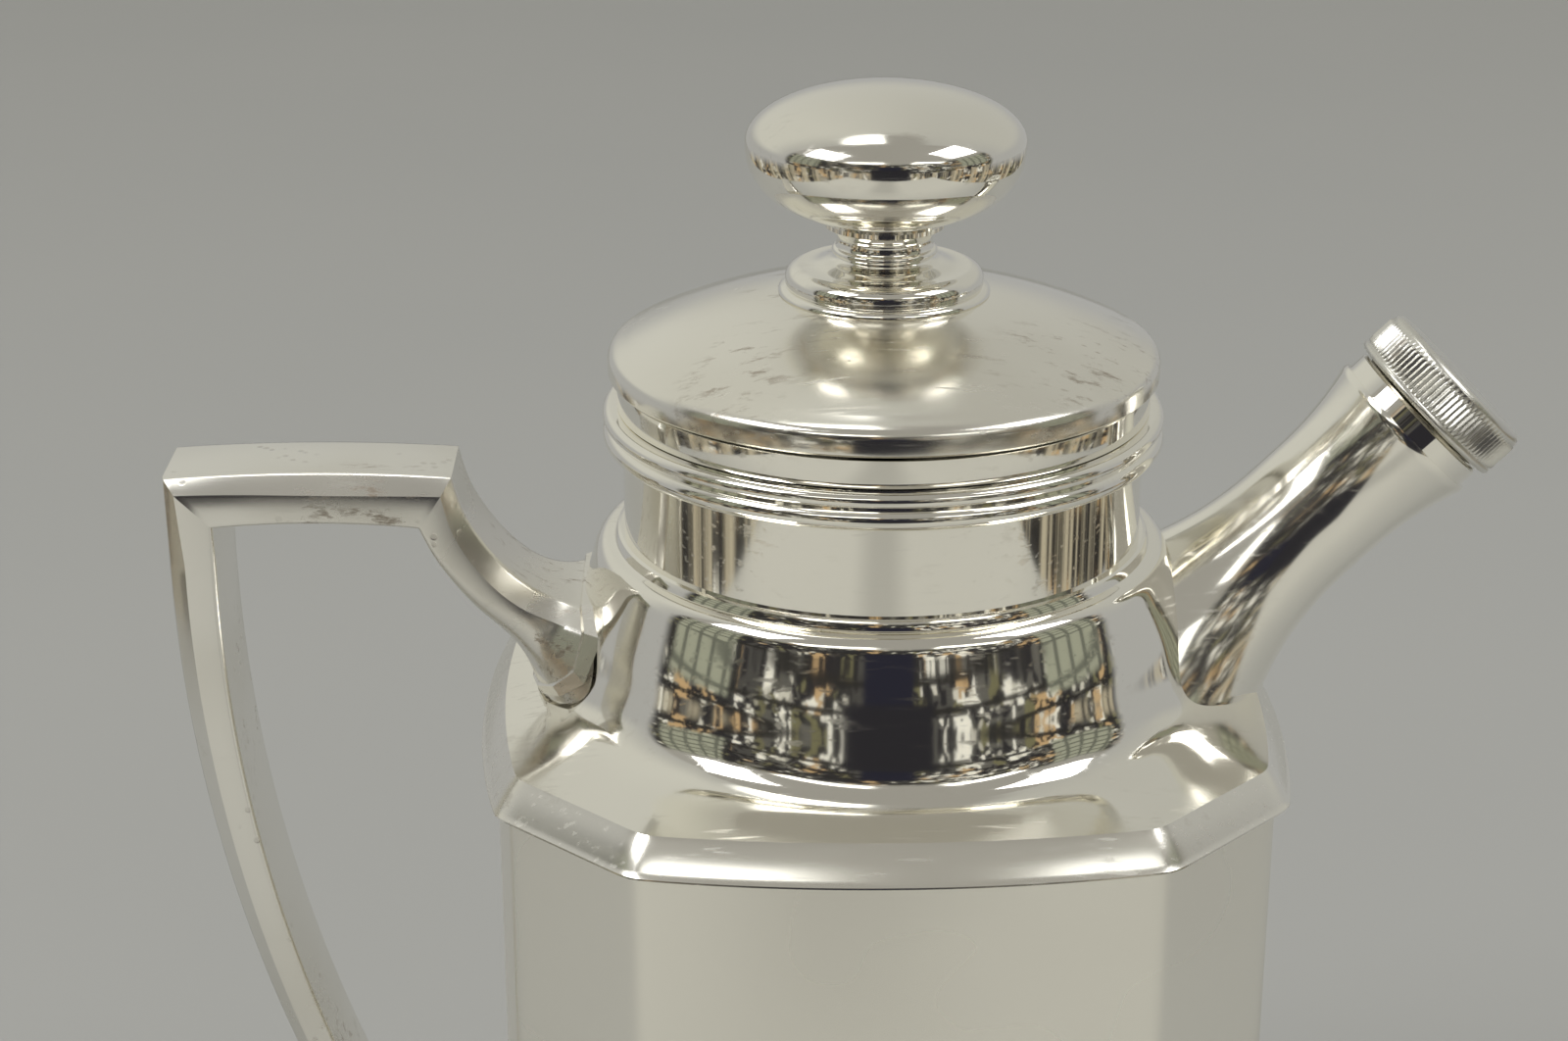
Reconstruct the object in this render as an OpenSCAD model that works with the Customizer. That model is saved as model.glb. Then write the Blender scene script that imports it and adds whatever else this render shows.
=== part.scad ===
// Silver-plated pot: an eight-sided body under a round shoulder, a lift-off lid with a knob,
// a hollow angular handle, and a straight spout closed by a knurled screw cap.
// Origin: centre of the foot, on the table. +Z up, +X towards the spout, -X towards the handle.

/* [Body] */
// Height of the neck's foot above the table
neck_foot_z = 194; // [160:1:240]
// Distance from the axis to the plane through the ends of a broad side
body_half = 59.5; // [52:0.5:66]
// Length that a corner panel takes off each side
corner_leg = 19.9; // [15:0.1:24]
// How far a broad side bows out in its middle
side_bow = 4.1; // [1:0.1:6]
// Thickness of the pressed sheet
sheet = 1.3; // [0.9:0.1:1.6]
// Height of the stepped foot
foot_h = 14; // [10:0.5:20]
// How far the foot's plinth stands out past the wall
foot_step = 5; // [3:0.5:8]

/* [Shoulder and neck] */
// How far the brim stands out past the body's wall
brim_overhang = 2.4; // [1.5:0.1:4]
// Drop from the neck's foot to the underside of the brim
brim_drop = 33.4; // [29:0.1:40]
// Outer radius of the neck
neck_r = 42; // [37:0.5:46]
// Height of the neck, up to its reeded rim
neck_h = 14.6; // [11:0.1:22]
// Height of the reeded rim
rim_h = 6.2; // [5:0.1:9]
// How far the reeds stand out past the neck
reed_out = 3.2; // [2:0.1:4]

/* [Lid] */
// Sliding gap all round between the lid's sleeve and the neck
lid_gap = 0.1; // [0.05:0.01:0.3]
// Depth of the sleeve below the mouth
sleeve_depth = 13; // [8:0.5:18]
// Height of the recessed band between the mouth and the lid's edge
band_h = 5.4; // [3:0.1:8]
// Spherical radius of the lid's dome
dome_r = 98; // [80:1:130]
// Height of the dome's centre above the lid's edge line
lid_edge_drop = 9.7; // [7:0.1:13]

/* [Knob] */
// Largest radius of the knob
knob_r = 22.1; // [16:0.1:26]
// Height of the knob's lower half
knob_bowl_h = 12.8; // [8:0.1:16]
// Height of the knob's upper half
knob_crown_h = 8.8; // [5:0.1:14]
// Radius of the knob's neck
knob_neck_r = 7.7; // [6:0.1:10]
// Height of the knob's neck
knob_neck_h = 5.6; // [4:0.1:10]
// Radius of the collar under the knob
collar_r = 15.6; // [12:0.1:18]
// Height of the collar
collar_h = 6; // [4:0.1:9]
// Radius of the knob's stud
stud_r = 2.5; // [2:0.1:3]

/* [Spout] */
// Distance of the spout's mouth from the pot's axis
spout_mouth_x = 85.2; // [80:0.5:95]
// Height of the spout's mouth above the neck's foot
spout_mouth_dz = 15.5; // [8:0.5:25]
// Slope of the spout from the level
spout_angle = 45; // [42:1:50]
// Outer radius of the spout's waist
spout_waist_r = 11.4; // [9:0.1:12]
// Outer radius of the spout's mouth
spout_mouth_r = 14; // [12.5:0.1:16]
// Outer radius of the nozzle that carries the thread
nozzle_r = 12.2; // [10:0.1:12.6]

/* [Spout cap] */
// Outer radius of the knurled cap
cap_r = 14.4; // [13.6:0.1:17]
// Height of the cap
cap_h = 8.1; // [7:0.1:11]
// Running gap all round between the nozzle's thread and the cap
cap_gap = 0.1; // [0.05:0.01:0.25]
// Thickness of the cork disc
cork_t = 1.5; // [1:0.1:2.5]

/* [Handle] */
// Distance of the grip's outer face from the pot's axis, at its top
handle_reach = 115.2; // [105:0.2:130]
// Height of the level bar's top face above the neck's foot
handle_top_dz = 11.2; // [6:0.2:18]
// Half of the bar's width
bar_half_w = 10.5; // [8:0.1:13]
// Thickness of the bar
bar_t = 8; // [6:0.1:10]
// Width of the bevels on the outer edges
bar_bevel = 3; // [1.5:0.1:3.5]
// Radius of the long curve of the grip
grip_curve_r = 270; // [240:5:320]
// Drop of the grip below the neck's foot, where its root starts
grip_drop = 128; // [100:1:135]

/* [Hidden] */

$fn = 96;
silver = [0.80, 0.79, 0.76];
silver_grey = [0.70, 0.70, 0.69];
cork = [0.66, 0.50, 0.33];

// Vectors and outlines -------------------------------------------------------------------------

function unit(v) = v / norm(v);
function lerp(a, b, u) = a + (b - a) * u;

// Radius of a bowed side that spans from -chord_half to chord_half
function bow_radius(chord_half, bow) = (chord_half * chord_half + bow * bow) / (2 * bow);

bow_r = bow_radius(body_half - corner_leg, side_bow);
bow_centre = body_half + side_bow - bow_r;
corner_face = (2 * body_half - corner_leg) / sqrt(2);

// Distance from the axis to a broad side, its outline grown by out, at angle a from its middle
function side_dist(a, out) =
    bow_centre * cos(a) + sqrt(pow(bow_r + out, 2) - pow(bow_centre * sin(a), 2));
function corner_dist(a, out) = (corner_face + out) / cos(45 - a);
// The same for the whole outline. Sharpness sets how tightly its eight corners are rounded.
function fold_angle(phi) = abs(((phi + 45) % 90 + 90) % 90 - 45);
function outline_r(phi, out, sharp) =
    let (a = fold_angle(phi), s = side_dist(a, out), c = corner_dist(a, out), m = min(s, c))
    m * pow(1 + pow(m / max(s, c), sharp), -1 / sharp);

// Points of a profile moved sideways by t, to its left as it is walked
function shifted(p, t) = [for (i = [0 : len(p) - 1])
    let (d = unit(p[min(i + 1, len(p) - 1)] - p[max(i - 1, 0)]))
    p[i] + t * [-d[1], d[0]]];

// Solid from rings of equal length that close on themselves both ways round
module ring_solid(rings) {
    n = len(rings);
    m = len(rings[0]);
    polyhedron(
        points = [for (r = rings) each r],
        faces = [for (i = [0 : n - 1], j = [0 : m - 1])
            let (a = i * m + j, b = i * m + (j + 1) % m,
                 c = ((i + 1) % n) * m + (j + 1) % m, d = ((i + 1) % n) * m + j)
            each [[a, b, c], [a, c, d]]]);
}

// Tube between an outer and an inner row of rings, open at both ends
module tube_solid(outer, inner) {
    m = len(outer[0]);
    n = len(outer);
    ring_solid([for (j = [0 : m - 1]) concat(
        [for (i = [0 : n - 1]) outer[i][j]],
        [for (i = [n - 1 : -1 : 0]) inner[i][j]])]);
}

// Body -----------------------------------------------------------------------------------------

brim_z = neck_foot_z - brim_drop;
// The wall ends just under the sloping lip, whose sheet is thicker when it is measured upright
lip_w = 4;
lip_h = 5.8;
lip_slope = lip_h / lip_w;
wall_lap = (brim_overhang - 0.5) * lip_slope - sheet * sqrt(1 + lip_slope * lip_slope);
shell_top_z = brim_z + wall_lap;
plinth_low_h = 5;
wall_inset = 0.1;

// Upright prism with the body's outline, grown by out
module side_round(turn, out, h) {
    rotate([0, 0, turn]) translate([bow_centre, 0, 0]) cylinder(r = bow_r + out, h = h, $fn = 240);
}
module body_prism(out, h) {
    intersection() {
        side_round(0, out, h);
        side_round(90, out, h);
        side_round(180, out, h);
        side_round(270, out, h);
        rotate([0, 0, 45]) translate([-corner_face - out, -corner_face - out, 0])
            cube([2 * (corner_face + out), 2 * (corner_face + out), h]);
    }
}

module body_shell() {
    color(silver_grey) translate([0, 0, foot_h]) difference() {
        body_prism(0, shell_top_z - foot_h);
        translate([0, 0, -1]) body_prism(-sheet, shell_top_z - foot_h + 2);
    }
}

// Flat bottom, let in just above the foot
module base_plate() {
    color(silver_grey) translate([0, 0, foot_h + 2]) body_prism(-sheet - wall_inset, sheet);
}

// Hollow two-step plinth under the wall, closed by its own flat underside
module foot_plinth() {
    color(silver) difference() {
        union() {
            body_prism(foot_step, plinth_low_h);
            translate([0, 0, plinth_low_h]) body_prism(foot_step / 2, foot_h - plinth_low_h);
        }
        translate([0, 0, sheet]) body_prism(foot_step - sheet, plinth_low_h - 2 * sheet);
        translate([0, 0, sheet]) body_prism(foot_step / 2 - sheet, foot_h - 2 * sheet);
        translate([0, 0, sheet]) body_prism(-sheet - 1, foot_h);
    }
}

// Shoulder -------------------------------------------------------------------------------------

ring_r = neck_r + 1.6;
// The dome turns over close to the neck's foot, and falls as a steep wall to its waist
top_r = neck_r + 4.8;
top_drop = 4.6;
waist_r = neck_r + 8.8;
waist_drop = brim_drop - 15.4;
crease_drop = brim_drop - lip_h;
brim_sharp = 80;

// Outer profile of the shoulder, for a brim that reaches out to rim_r: [radius, height]
function shoulder_profile(rim_r) = concat(
    [[neck_r - sheet, 0], [neck_r + 0.6, 0], [ring_r - 0.2, -0.5], [ring_r, -1.5]],
    [for (t = [0 : 22.5 : 90]) [lerp(ring_r + 1, top_r, sin(t)), lerp(-top_drop, -1.7, cos(t))]],
    [for (u = [0.33, 0.67]) [lerp(top_r, waist_r, pow(u, 0.8)), lerp(-top_drop, -waist_drop, u)]],
    [for (u = [0 : 0.2 : 0.8])
        [lerp(waist_r, rim_r - lip_w, u), -waist_drop - (crease_drop - waist_drop) * (1 - pow(1 - u, 1.9))]],
    [[rim_r - lip_w, -crease_drop], [rim_r - lip_w / 2, lerp(-crease_drop, -brim_drop, 0.46)],
     [rim_r - 0.3, 0.5 - brim_drop], [rim_r, 0.2 - brim_drop]]);

function brim_r(phi) = outline_r(phi, brim_overhang, brim_sharp);

// Closed section of the shoulder in the half plane at angle phi
function shoulder_section(phi) =
    let (rim = brim_r(phi), wall = outline_r(phi, wall_inset, 2000),
         outer = shoulder_profile(rim), n = len(outer),
         inner = shifted(outer, -sheet))
    concat(outer,
        [[rim - 0.3, -brim_drop], [wall, -brim_drop], [wall, sheet - brim_drop],
         [rim - sheet, sheet - brim_drop]],
        [for (i = [n - 3 : -1 : 4]) inner[i]],
        [[ring_r - 1, -1.5 - sheet], [neck_r - sheet, -1.5 - sheet]]);

// Angles at which the shoulder's section is drawn, closer together at the eight corners
vertex_at = atan((body_half - corner_leg) / body_half);
side_steps = [for (u = [0 : 0.2 : 0.8]) u * (vertex_at - 1.6)];
corner_steps = [vertex_at - 1.6, vertex_at - 0.7, vertex_at, vertex_at + 0.7, vertex_at + 1.6];
half_quarter = concat(side_steps, corner_steps, [lerp(vertex_at + 1.6, 45, 0.5), 45]);
last_step = len(half_quarter) - 1;
azimuths = [for (q = [0 : 90 : 270]) each concat(
    [for (a = half_quarter) q + a],
    [for (i = [last_step - 1 : -1 : 1]) q + 90 - half_quarter[i]])];

module place_on_spout() {
    translate([spout_mouth_x, 0, neck_foot_z + spout_mouth_dz]) rotate([0, 90 - spout_angle, 0])
        children();
}

module shoulder() {
    color(silver) difference() {
        ring_solid([for (k = [len(azimuths) - 1 : -1 : 0]) let (phi = azimuths[k])
            [for (p = shoulder_section(phi)) [p[0] * cos(phi), p[0] * sin(phi), p[1] + neck_foot_z]]]);
        place_on_spout() translate([0, 0, -spout_len]) cylinder(r = spout_bore_r, h = spout_len);
    }
}

// Round body just under the shoulder's skin, or over it when rise is above 0. Its middle sheet
// line is where what is soldered on ends.
core_depth = 15;
module shoulder_core(rise) {
    p = shifted(shoulder_profile(brim_r(0)), rise);
    translate([0, 0, neck_foot_z]) rotate_extrude($fn = 180)
        polygon(concat([[0, p[3][1]]], [for (i = [3 : len(p) - 1]) p[i]],
            [[brim_r(0) + rise, -brim_drop - core_depth], [0, -brim_drop - core_depth]]));
}

// Neck -----------------------------------------------------------------------------------------

neck_bore_r = neck_r - sheet - 0.1;
rim_z = neck_foot_z + neck_h;
mouth_z = rim_z + rim_h;
reed_r = rim_h / 4 - 0.05;

module neck_band() {
    color(silver) translate([0, 0, neck_foot_z]) difference() {
        cylinder(r = neck_r, h = neck_h);
        translate([0, 0, -1]) cylinder(r = neck_bore_r, h = neck_h + 2);
    }
}

// Cast rim with two half-round reeds of unequal size
module neck_rim() {
    upper = 0.42 * rim_h;
    lower = rim_h - upper;
    color(silver) translate([0, 0, rim_z]) rotate_extrude() difference() {
        union() {
            translate([neck_bore_r, 0]) square([neck_r + reed_out / 2 - neck_bore_r, rim_h]);
            translate([neck_r + reed_out - lower / 2, lower / 2]) circle(d = lower, $fn = 32);
            translate([neck_r + reed_out - upper / 2, lower + upper / 2]) circle(d = upper, $fn = 32);
        }
        translate([neck_bore_r - 1, -1]) square([1, rim_h + 2]);
    }
}

// Spout ----------------------------------------------------------------------------------------

spout_len = 54;
spout_bore_r = spout_waist_r - sheet - 0.6;
nozzle_collar_h = 3.4;
thread_h = 6.4;
nozzle_collar_r = nozzle_r + 0.8;
thread_pitch = 2.2;
thread_turns = 3;
strainer_depth = 30;

// Radius of the spout at distance s below its mouth
function spout_r(s) = spout_waist_r
    + (spout_mouth_r - spout_waist_r) * pow(max(0, 1 - s / 17), 2)
    + 9 * pow(max(0, (s - 22) / 32), 2.2);

module spout_tube() {
    steps = [for (s = [0 : 2 : spout_len]) s];
    outer = [for (s = steps) [spout_r(s), -s]];
    inner = [for (s = steps) [spout_r(s) - sheet, -s]];
    color(silver) difference() {
        place_on_spout() rotate_extrude() polygon(concat(outer,
            [for (i = [len(inner) - 1 : -1 : 0]) inner[i]]));
        shoulder_core(-sheet / 2);
    }
}

module spout_strainer() {
    color(silver_grey) place_on_spout() translate([0, 0, -strainer_depth]) difference() {
        cylinder(r = spout_r(strainer_depth - 1) - sheet, h = 1);
        for (row = [0 : 2], k = [0 : max(0, row * 6 - 1)])
            rotate([0, 0, k * 60 / max(1, row)]) translate([row * 3.1, 0, -1])
                cylinder(r = 0.9, h = 3, $fn = 24);
    }
}

module spout_nozzle() {
    bore = nozzle_r - 2;
    color(silver) place_on_spout() difference() {
        union() {
            cylinder(r = nozzle_collar_r, h = nozzle_collar_h);
            cylinder(r = spout_mouth_r - 1, h = 1);
            translate([0, 0, -2]) cylinder(r = spout_r(2) - sheet - 0.4, h = 2);
            translate([0, 0, nozzle_collar_h]) cylinder(r = nozzle_r - 0.7, h = thread_h);
            for (k = [0 : thread_turns - 1])
                translate([0, 0, nozzle_collar_h + 0.7 + k * thread_pitch - 0.15])
                    cylinder(r = nozzle_r, h = 0.9);
        }
        translate([0, 0, -3]) cylinder(r = bore, h = nozzle_collar_h + thread_h + 4);
    }
}

// Spout cap ------------------------------------------------------------------------------------

cap_foot = nozzle_collar_h + 0.5;
cap_disc_t = 1;
cap_bevel = 1;
liner_r = nozzle_r + 0.9;
nozzle_end = nozzle_collar_h + thread_h;

module cap_ring() {
    color(silver) place_on_spout() translate([0, 0, cap_foot]) rotate_extrude() polygon([
        [liner_r, 0], [cap_r - 0.4, 0], [cap_r, 0.4], [cap_r, cap_h - cap_bevel - cap_disc_t],
        [cap_r - cap_bevel * 0.4, cap_h - cap_disc_t], [liner_r, cap_h - cap_disc_t]]);
}

module cap_disc() {
    color(silver) place_on_spout() translate([0, 0, cap_foot + cap_h - cap_disc_t])
        cylinder(r1 = cap_r - cap_bevel * 0.4, r2 = cap_r - cap_bevel * 1.2, h = cap_disc_t);
}

module cap_liner() {
    color(silver_grey) place_on_spout() translate([0, 0, cap_foot + 0.3]) difference() {
        cylinder(r = liner_r, h = nozzle_end - cap_foot - 0.3);
        translate([0, 0, -1]) cylinder(r = nozzle_r + cap_gap, h = cap_h + 2);
    }
}

module cap_cork() {
    color(cork) place_on_spout() translate([0, 0, nozzle_end])
        cylinder(r = liner_r - 0.1, h = min(cork_t, cap_foot + cap_h - cap_disc_t - nozzle_end - 0.05));
}

// Lid ------------------------------------------------------------------------------------------

sleeve_r = neck_bore_r - lid_gap;
band_r = neck_r + 0.9;
lid_r = neck_r + 2.2;
edge_z = mouth_z + band_h;
edge_h = 4.6;
dome_edge_r = lid_r - 1.6;
dome_centre_z = edge_z + edge_h - sqrt(pow(dome_r, 2) - pow(dome_edge_r, 2));
dome_top_z = dome_centre_z + dome_r;
function dome_z(r) = dome_centre_z + sqrt(pow(dome_r, 2) - pow(r, 2));
function dome_under_z(r) = dome_centre_z + sqrt(pow(dome_r - sheet, 2) - pow(r, 2));

module lid_dome() {
    color(silver) difference() {
        rotate_extrude() polygon(concat(
            [for (r = [0 : 3 : dome_edge_r - 2]) [r, dome_z(r)]],
            [for (t = [0 : 22.5 : 90]) [dome_edge_r + 1.6 * sin(t), edge_z + 2.6 + (edge_h - 2.6) * cos(t)]],
            [[lid_r, edge_z], [band_r + 0.05, edge_z], [band_r - 0.6, edge_z + 1]],
            [for (t = [90 : -30 : 0]) [dome_edge_r - 1.2 + 1.2 * sin(t), edge_z + 1.6 + 1.4 * cos(t)]],
            [for (r = [floor((dome_edge_r - 3) / 3) * 3 : -3 : 0]) [r, dome_under_z(r)]]));
        translate([0, 0, edge_z]) cylinder(r = stud_r + 0.05, h = 60);
    }
}

// Plain recessed band that rests on the mouth, with a flange for the sleeve
module lid_band() {
    color(silver) translate([0, 0, mouth_z]) rotate_extrude() polygon([
        [sleeve_r, 0], [band_r - 0.4, 0], [band_r, 0.4], [band_r, band_h], [band_r - sheet, band_h],
        [band_r - sheet, sheet], [sleeve_r, sheet]]);
}

module lid_sleeve() {
    color(silver_grey) translate([0, 0, mouth_z - sleeve_depth]) difference() {
        cylinder(r = sleeve_r, h = sleeve_depth + sheet);
        translate([0, 0, -1]) cylinder(r = sleeve_r - sheet, h = sleeve_depth + sheet + 2);
    }
}

// Knob -----------------------------------------------------------------------------------------

collar_foot_r = collar_r + 1.3;
collar_z = dome_z(collar_foot_r);
collar_top_z = dome_top_z + collar_h - 1.5;
knob_foot_z = collar_top_z + knob_neck_h;
knob_mid_z = knob_foot_z + knob_bowl_h;
knob_throat_r = knob_neck_r + 2;
// The bowl is the part of a half ellipse that is left above the throat, on a short plain foot
bowl_foot = 0.6;
bowl_depth = knob_bowl_h - bowl_foot;
bowl_axis = bowl_depth / sqrt(1 - pow(knob_throat_r / knob_r, 2));
bowl_floor = -0.9 * bowl_depth + 0.3;
function bowl_r(z) = knob_r * sqrt(1 - pow(z / bowl_axis, 2));

module knob_collar() {
    band_z = collar_z + 1.1;
    color(silver) difference() {
        rotate_extrude() polygon(concat(
            [[stud_r + 0.05, collar_z - 1], [collar_foot_r, collar_z - 1], [collar_foot_r, collar_z + 0.7],
             [collar_foot_r - 0.6, band_z], [collar_r, band_z]],
            [for (t = [0 : 18 : 90]) [collar_r - 1.6 + 1.6 * cos(t), band_z + 2.4 + 1.4 * sin(t)]],
            [for (t = [0 : 18 : 90]) [lerp(collar_r - 3, knob_neck_r, sin(t)),
                band_z + 3.5 + (collar_top_z - band_z - 3.5) * (1 - cos(t))]],
            [[stud_r + 0.05, collar_top_z]]));
        translate([0, 0, dome_centre_z]) sphere(r = dome_r, $fn = 200);
    }
}

module knob_neck() {
    color(silver) translate([0, 0, collar_top_z]) rotate_extrude() difference() {
        union() {
            square([knob_neck_r, knob_neck_h]);
            translate([knob_neck_r, 0.9]) circle(r = 0.7, $fn = 24);
            translate([0, knob_neck_h - 1]) square([knob_throat_r - 0.6, 1]);
        }
        square([2 * stud_r + 0.1, 3 * knob_neck_h], center = true);
    }
}

// Hollow lower half of the knob
module knob_bowl() {
    hs = [for (u = [0 : 0.1 : 1]) bowl_depth * (1 - u)];
    color(silver) translate([0, 0, knob_mid_z]) rotate_extrude() polygon(concat(
        [[stud_r + 0.05, -knob_bowl_h], [knob_throat_r, -knob_bowl_h]],
        [for (z = hs) [bowl_r(z), -z]],
        [[knob_r - sheet, 0]],
        [for (i = [len(hs) - 2 : -1 : 1]) [bowl_r(hs[i]) - sheet * 1.1, -hs[i] + 0.3]],
        [[stud_r + 0.05, bowl_floor]]));
}

module knob_crown() {
    color(silver) translate([0, 0, knob_mid_z]) rotate_extrude() polygon(concat(
        [for (t = [0 : 7.5 : 90]) [knob_r * cos(t), knob_crown_h * sin(t)]],
        [for (t = [90 : -10 : 0]) [(knob_r - sheet) * cos(t), (knob_crown_h - sheet) * sin(t)]]));
}

nut_h = 4;
washer_t = 1;
washer_r = 7;
washer_z = dome_under_z(washer_r) - washer_t;

module knob_stud() {
    head_t = 1.5;
    top = knob_mid_z + bowl_floor;
    color(silver_grey) {
        translate([0, 0, washer_z - nut_h - 1.5])
            cylinder(r = stud_r, h = top + head_t - washer_z + nut_h + 1.5);
        translate([0, 0, top]) cylinder(r = stud_r + 3, h = head_t);
    }
}

module knob_washer() {
    color(silver_grey) translate([0, 0, washer_z]) difference() {
        cylinder(r = washer_r, h = washer_t);
        translate([0, 0, -1]) cylinder(r = stud_r + 0.05, h = washer_t + 2);
    }
}

module knob_nut() {
    color(silver_grey) translate([0, 0, washer_z - nut_h]) difference() {
        cylinder(r = 2 * stud_r, h = nut_h, $fn = 6);
        translate([0, 0, -1]) cylinder(r = stud_r + 0.05, h = nut_h + 2);
    }
}

// Handle ---------------------------------------------------------------------------------------

// Section of the hollow bar between an outer point and an inner point, both [x, z] in the plane
// of symmetry: w is its half width, bevel cuts the outer edges, round softens the inner ones.
function bar_ring(o, i, w, bevel, round, inset) =
    let (n = unit(i - o), h = norm(i - o), lo = inset, hi = h - inset, hw = w - inset,
         b = bevel - inset * 0.4, r = max(0.3, round - inset),
         side = concat([[lo, hw - b], [lo + b, hw]],
             [for (t = [0 : 30 : 90]) [hi - r * (1 - sin(t)), hw - r * (1 - cos(t))]]),
         prof = concat(side, [for (k = [len(side) - 1 : -1 : 0]) [side[k][0], -side[k][1]]]))
    [for (p = prof) [o[0] + n[0] * p[0], p[1], o[1] + n[1] * p[0] + neck_foot_z]];

// Hollow bar along stations, each [outer point, inner point, half width, bevel, inner rounding]
module bar(stations) {
    tube_solid(
        [for (s = stations) bar_ring(s[0], s[1], s[2], s[3], s[4], 0)],
        [for (s = stations) bar_ring(s[0], s[1], s[2], s[3], s[4], sheet)]);
}

edge_round = 0.8;
corner_o = [-handle_reach, handle_top_dz];
corner_i = corner_o + [bar_t - 0.1, -bar_t + 0.2];
bend_o = [-neck_r - 27.2, handle_top_dz - 0.2];
bend_i = bend_o + [-5.4, -bar_t];
arch_rise = 0.8;
function arch(u) = arch_rise * 4 * u * (1 - u);

module handle_top_bar() {
    color(silver) bar([for (u = [0 : 0.125 : 1]) [
        lerp(corner_o, bend_o, u) + [0, arch(u)], lerp(corner_i, bend_i, u) + [0, arch(u)],
        bar_half_w, bar_bevel, edge_round]]);
}

// The grip's outer face is one long arc, whose centre is level with grip_arc_z
grip_arc_z = -3;
grip_arc_x = grip_curve_r - handle_reach + 0.1;
grip_taper = 0.78;
function grip_o(z) = [grip_arc_x - sqrt(pow(grip_curve_r, 2) - pow(z - grip_arc_z, 2)), z];
function grip_in(z) = unit([grip_arc_x, grip_arc_z] - grip_o(z));
function grip_share(z) = (grip_arc_z - z) / (grip_drop + grip_arc_z);
function grip_scale(z) = lerp(1, grip_taper, grip_share(z));
function grip_station(z) = [grip_o(z), grip_o(z) + grip_in(z) * bar_t * grip_scale(z),
    bar_half_w * grip_scale(z), bar_bevel * grip_scale(z), edge_round];

module handle_grip() {
    color(silver) bar(concat([[corner_o, corner_i, bar_half_w, bar_bevel, edge_round]],
        [for (k = [0 : 14]) grip_station(lerp(grip_arc_z, -grip_drop, k / 14))]));
}

// The sweep from the level bar down to the shoulder. Its places are set from the bar's end, and
// it is cut off at the shoulder's skin.
upper_stations = [
    [bend_o, bend_i, bar_half_w, bar_bevel, edge_round],
    [bend_o + [1.6, -5.8], bend_o + [-3.4, -12.6], bar_half_w, bar_bevel, 1.2],
    [bend_o + [4.8, -11.6], bend_o + [-0.4, -17.6], bar_half_w, bar_bevel, 2],
    [bend_o + [9, -16.6], bend_o + [3.6, -22.8], bar_half_w, bar_bevel, 3],
    [bend_o + [13.6, -19.9], bend_o + [7.8, -27.2], bar_half_w + 0.4, bar_bevel, 4.5],
    [bend_o + [17.6, -21.2], bend_o + [10.8, -31.6], bar_half_w + 1.5, bar_bevel, 6.5],
    [bend_o + [20.6, -21.6], bend_o + [12.6, -36.2], bar_half_w + 3.8, bar_bevel, 9],
    [bend_o + [27.4, -20.6], bend_o + [17.2, -43.4], bar_half_w + 9, bar_bevel + 1, 12]];

module handle_upper_root() {
    color(silver) difference() {
        bar(upper_stations);
        shoulder_core(-sheet / 2);
    }
}

// Thin raised ring round the foot of a root, soldered half into both sheets. It follows the
// stations it is given.
seam_out = 0.8;
seam_w = 1.5;
seam_sunk = 0.4;
function grown(s, g) = [s[0] - unit(s[1] - s[0]) * g, s[1] + unit(s[1] - s[0]) * g, s[2] + g,
    s[3] + g * 0.4, s[4] + g];
function between(s, t, u) = [for (k = [0 : 4]) lerp(s[k], t[k], u)];

module seam(stations) {
    tube_solid(
        [for (s = stations) let (g = grown(s, seam_out)) bar_ring(g[0], g[1], g[2], g[3], g[4], 0)],
        [for (s = stations) let (g = grown(s, -seam_sunk)) bar_ring(g[0], g[1], g[2], g[3], g[4], 0)]);
}

// Point j of the sweep's ring at u stations along it, grown by g
function sweep_point(u, g, j) =
    let (k = min(floor(u), len(upper_stations) - 2),
         s = grown(between(upper_stations[k], upper_stations[k + 1], u - k), g))
    bar_ring(s[0], s[1], s[2], s[3], s[4], 0)[j];
// How far a point is outside the shoulder, measured level
shoulder_heights = [for (p = shoulder_profile(brim_r(0))) [p[1] + neck_foot_z, p[0]]];
function clear_of_shoulder(p) = norm([p[0], p[1]]) - lookup(p[2], shoulder_heights);
// Where the sweep's line j comes within d of the shoulder, between stations lo and hi
function sweep_meets(j, g, d, lo, hi, tries) =
    tries == 0 ? sweep_point(lo, g, j) :
    clear_of_shoulder(sweep_point((lo + hi) / 2, g, j)) > d
        ? sweep_meets(j, g, d, (lo + hi) / 2, hi, tries - 1)
        : sweep_meets(j, g, d, lo, (lo + hi) / 2, tries - 1);

module handle_upper_seam() {
    last = len(upper_stations) - 1;
    points = len(bar_ring(bend_o, bend_i, bar_half_w, bar_bevel, edge_round, 0));
    color(silver_grey) ring_solid([for (j = [0 : points - 1]) [
        sweep_meets(j, seam_out, seam_w, 3, last, 20),
        sweep_meets(j, seam_out, -seam_sunk, 3, last, 20),
        sweep_meets(j, -seam_sunk, -seam_sunk, 3, last, 20),
        sweep_meets(j, -seam_sunk, seam_w, 3, last, 20)]]);
}

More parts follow.
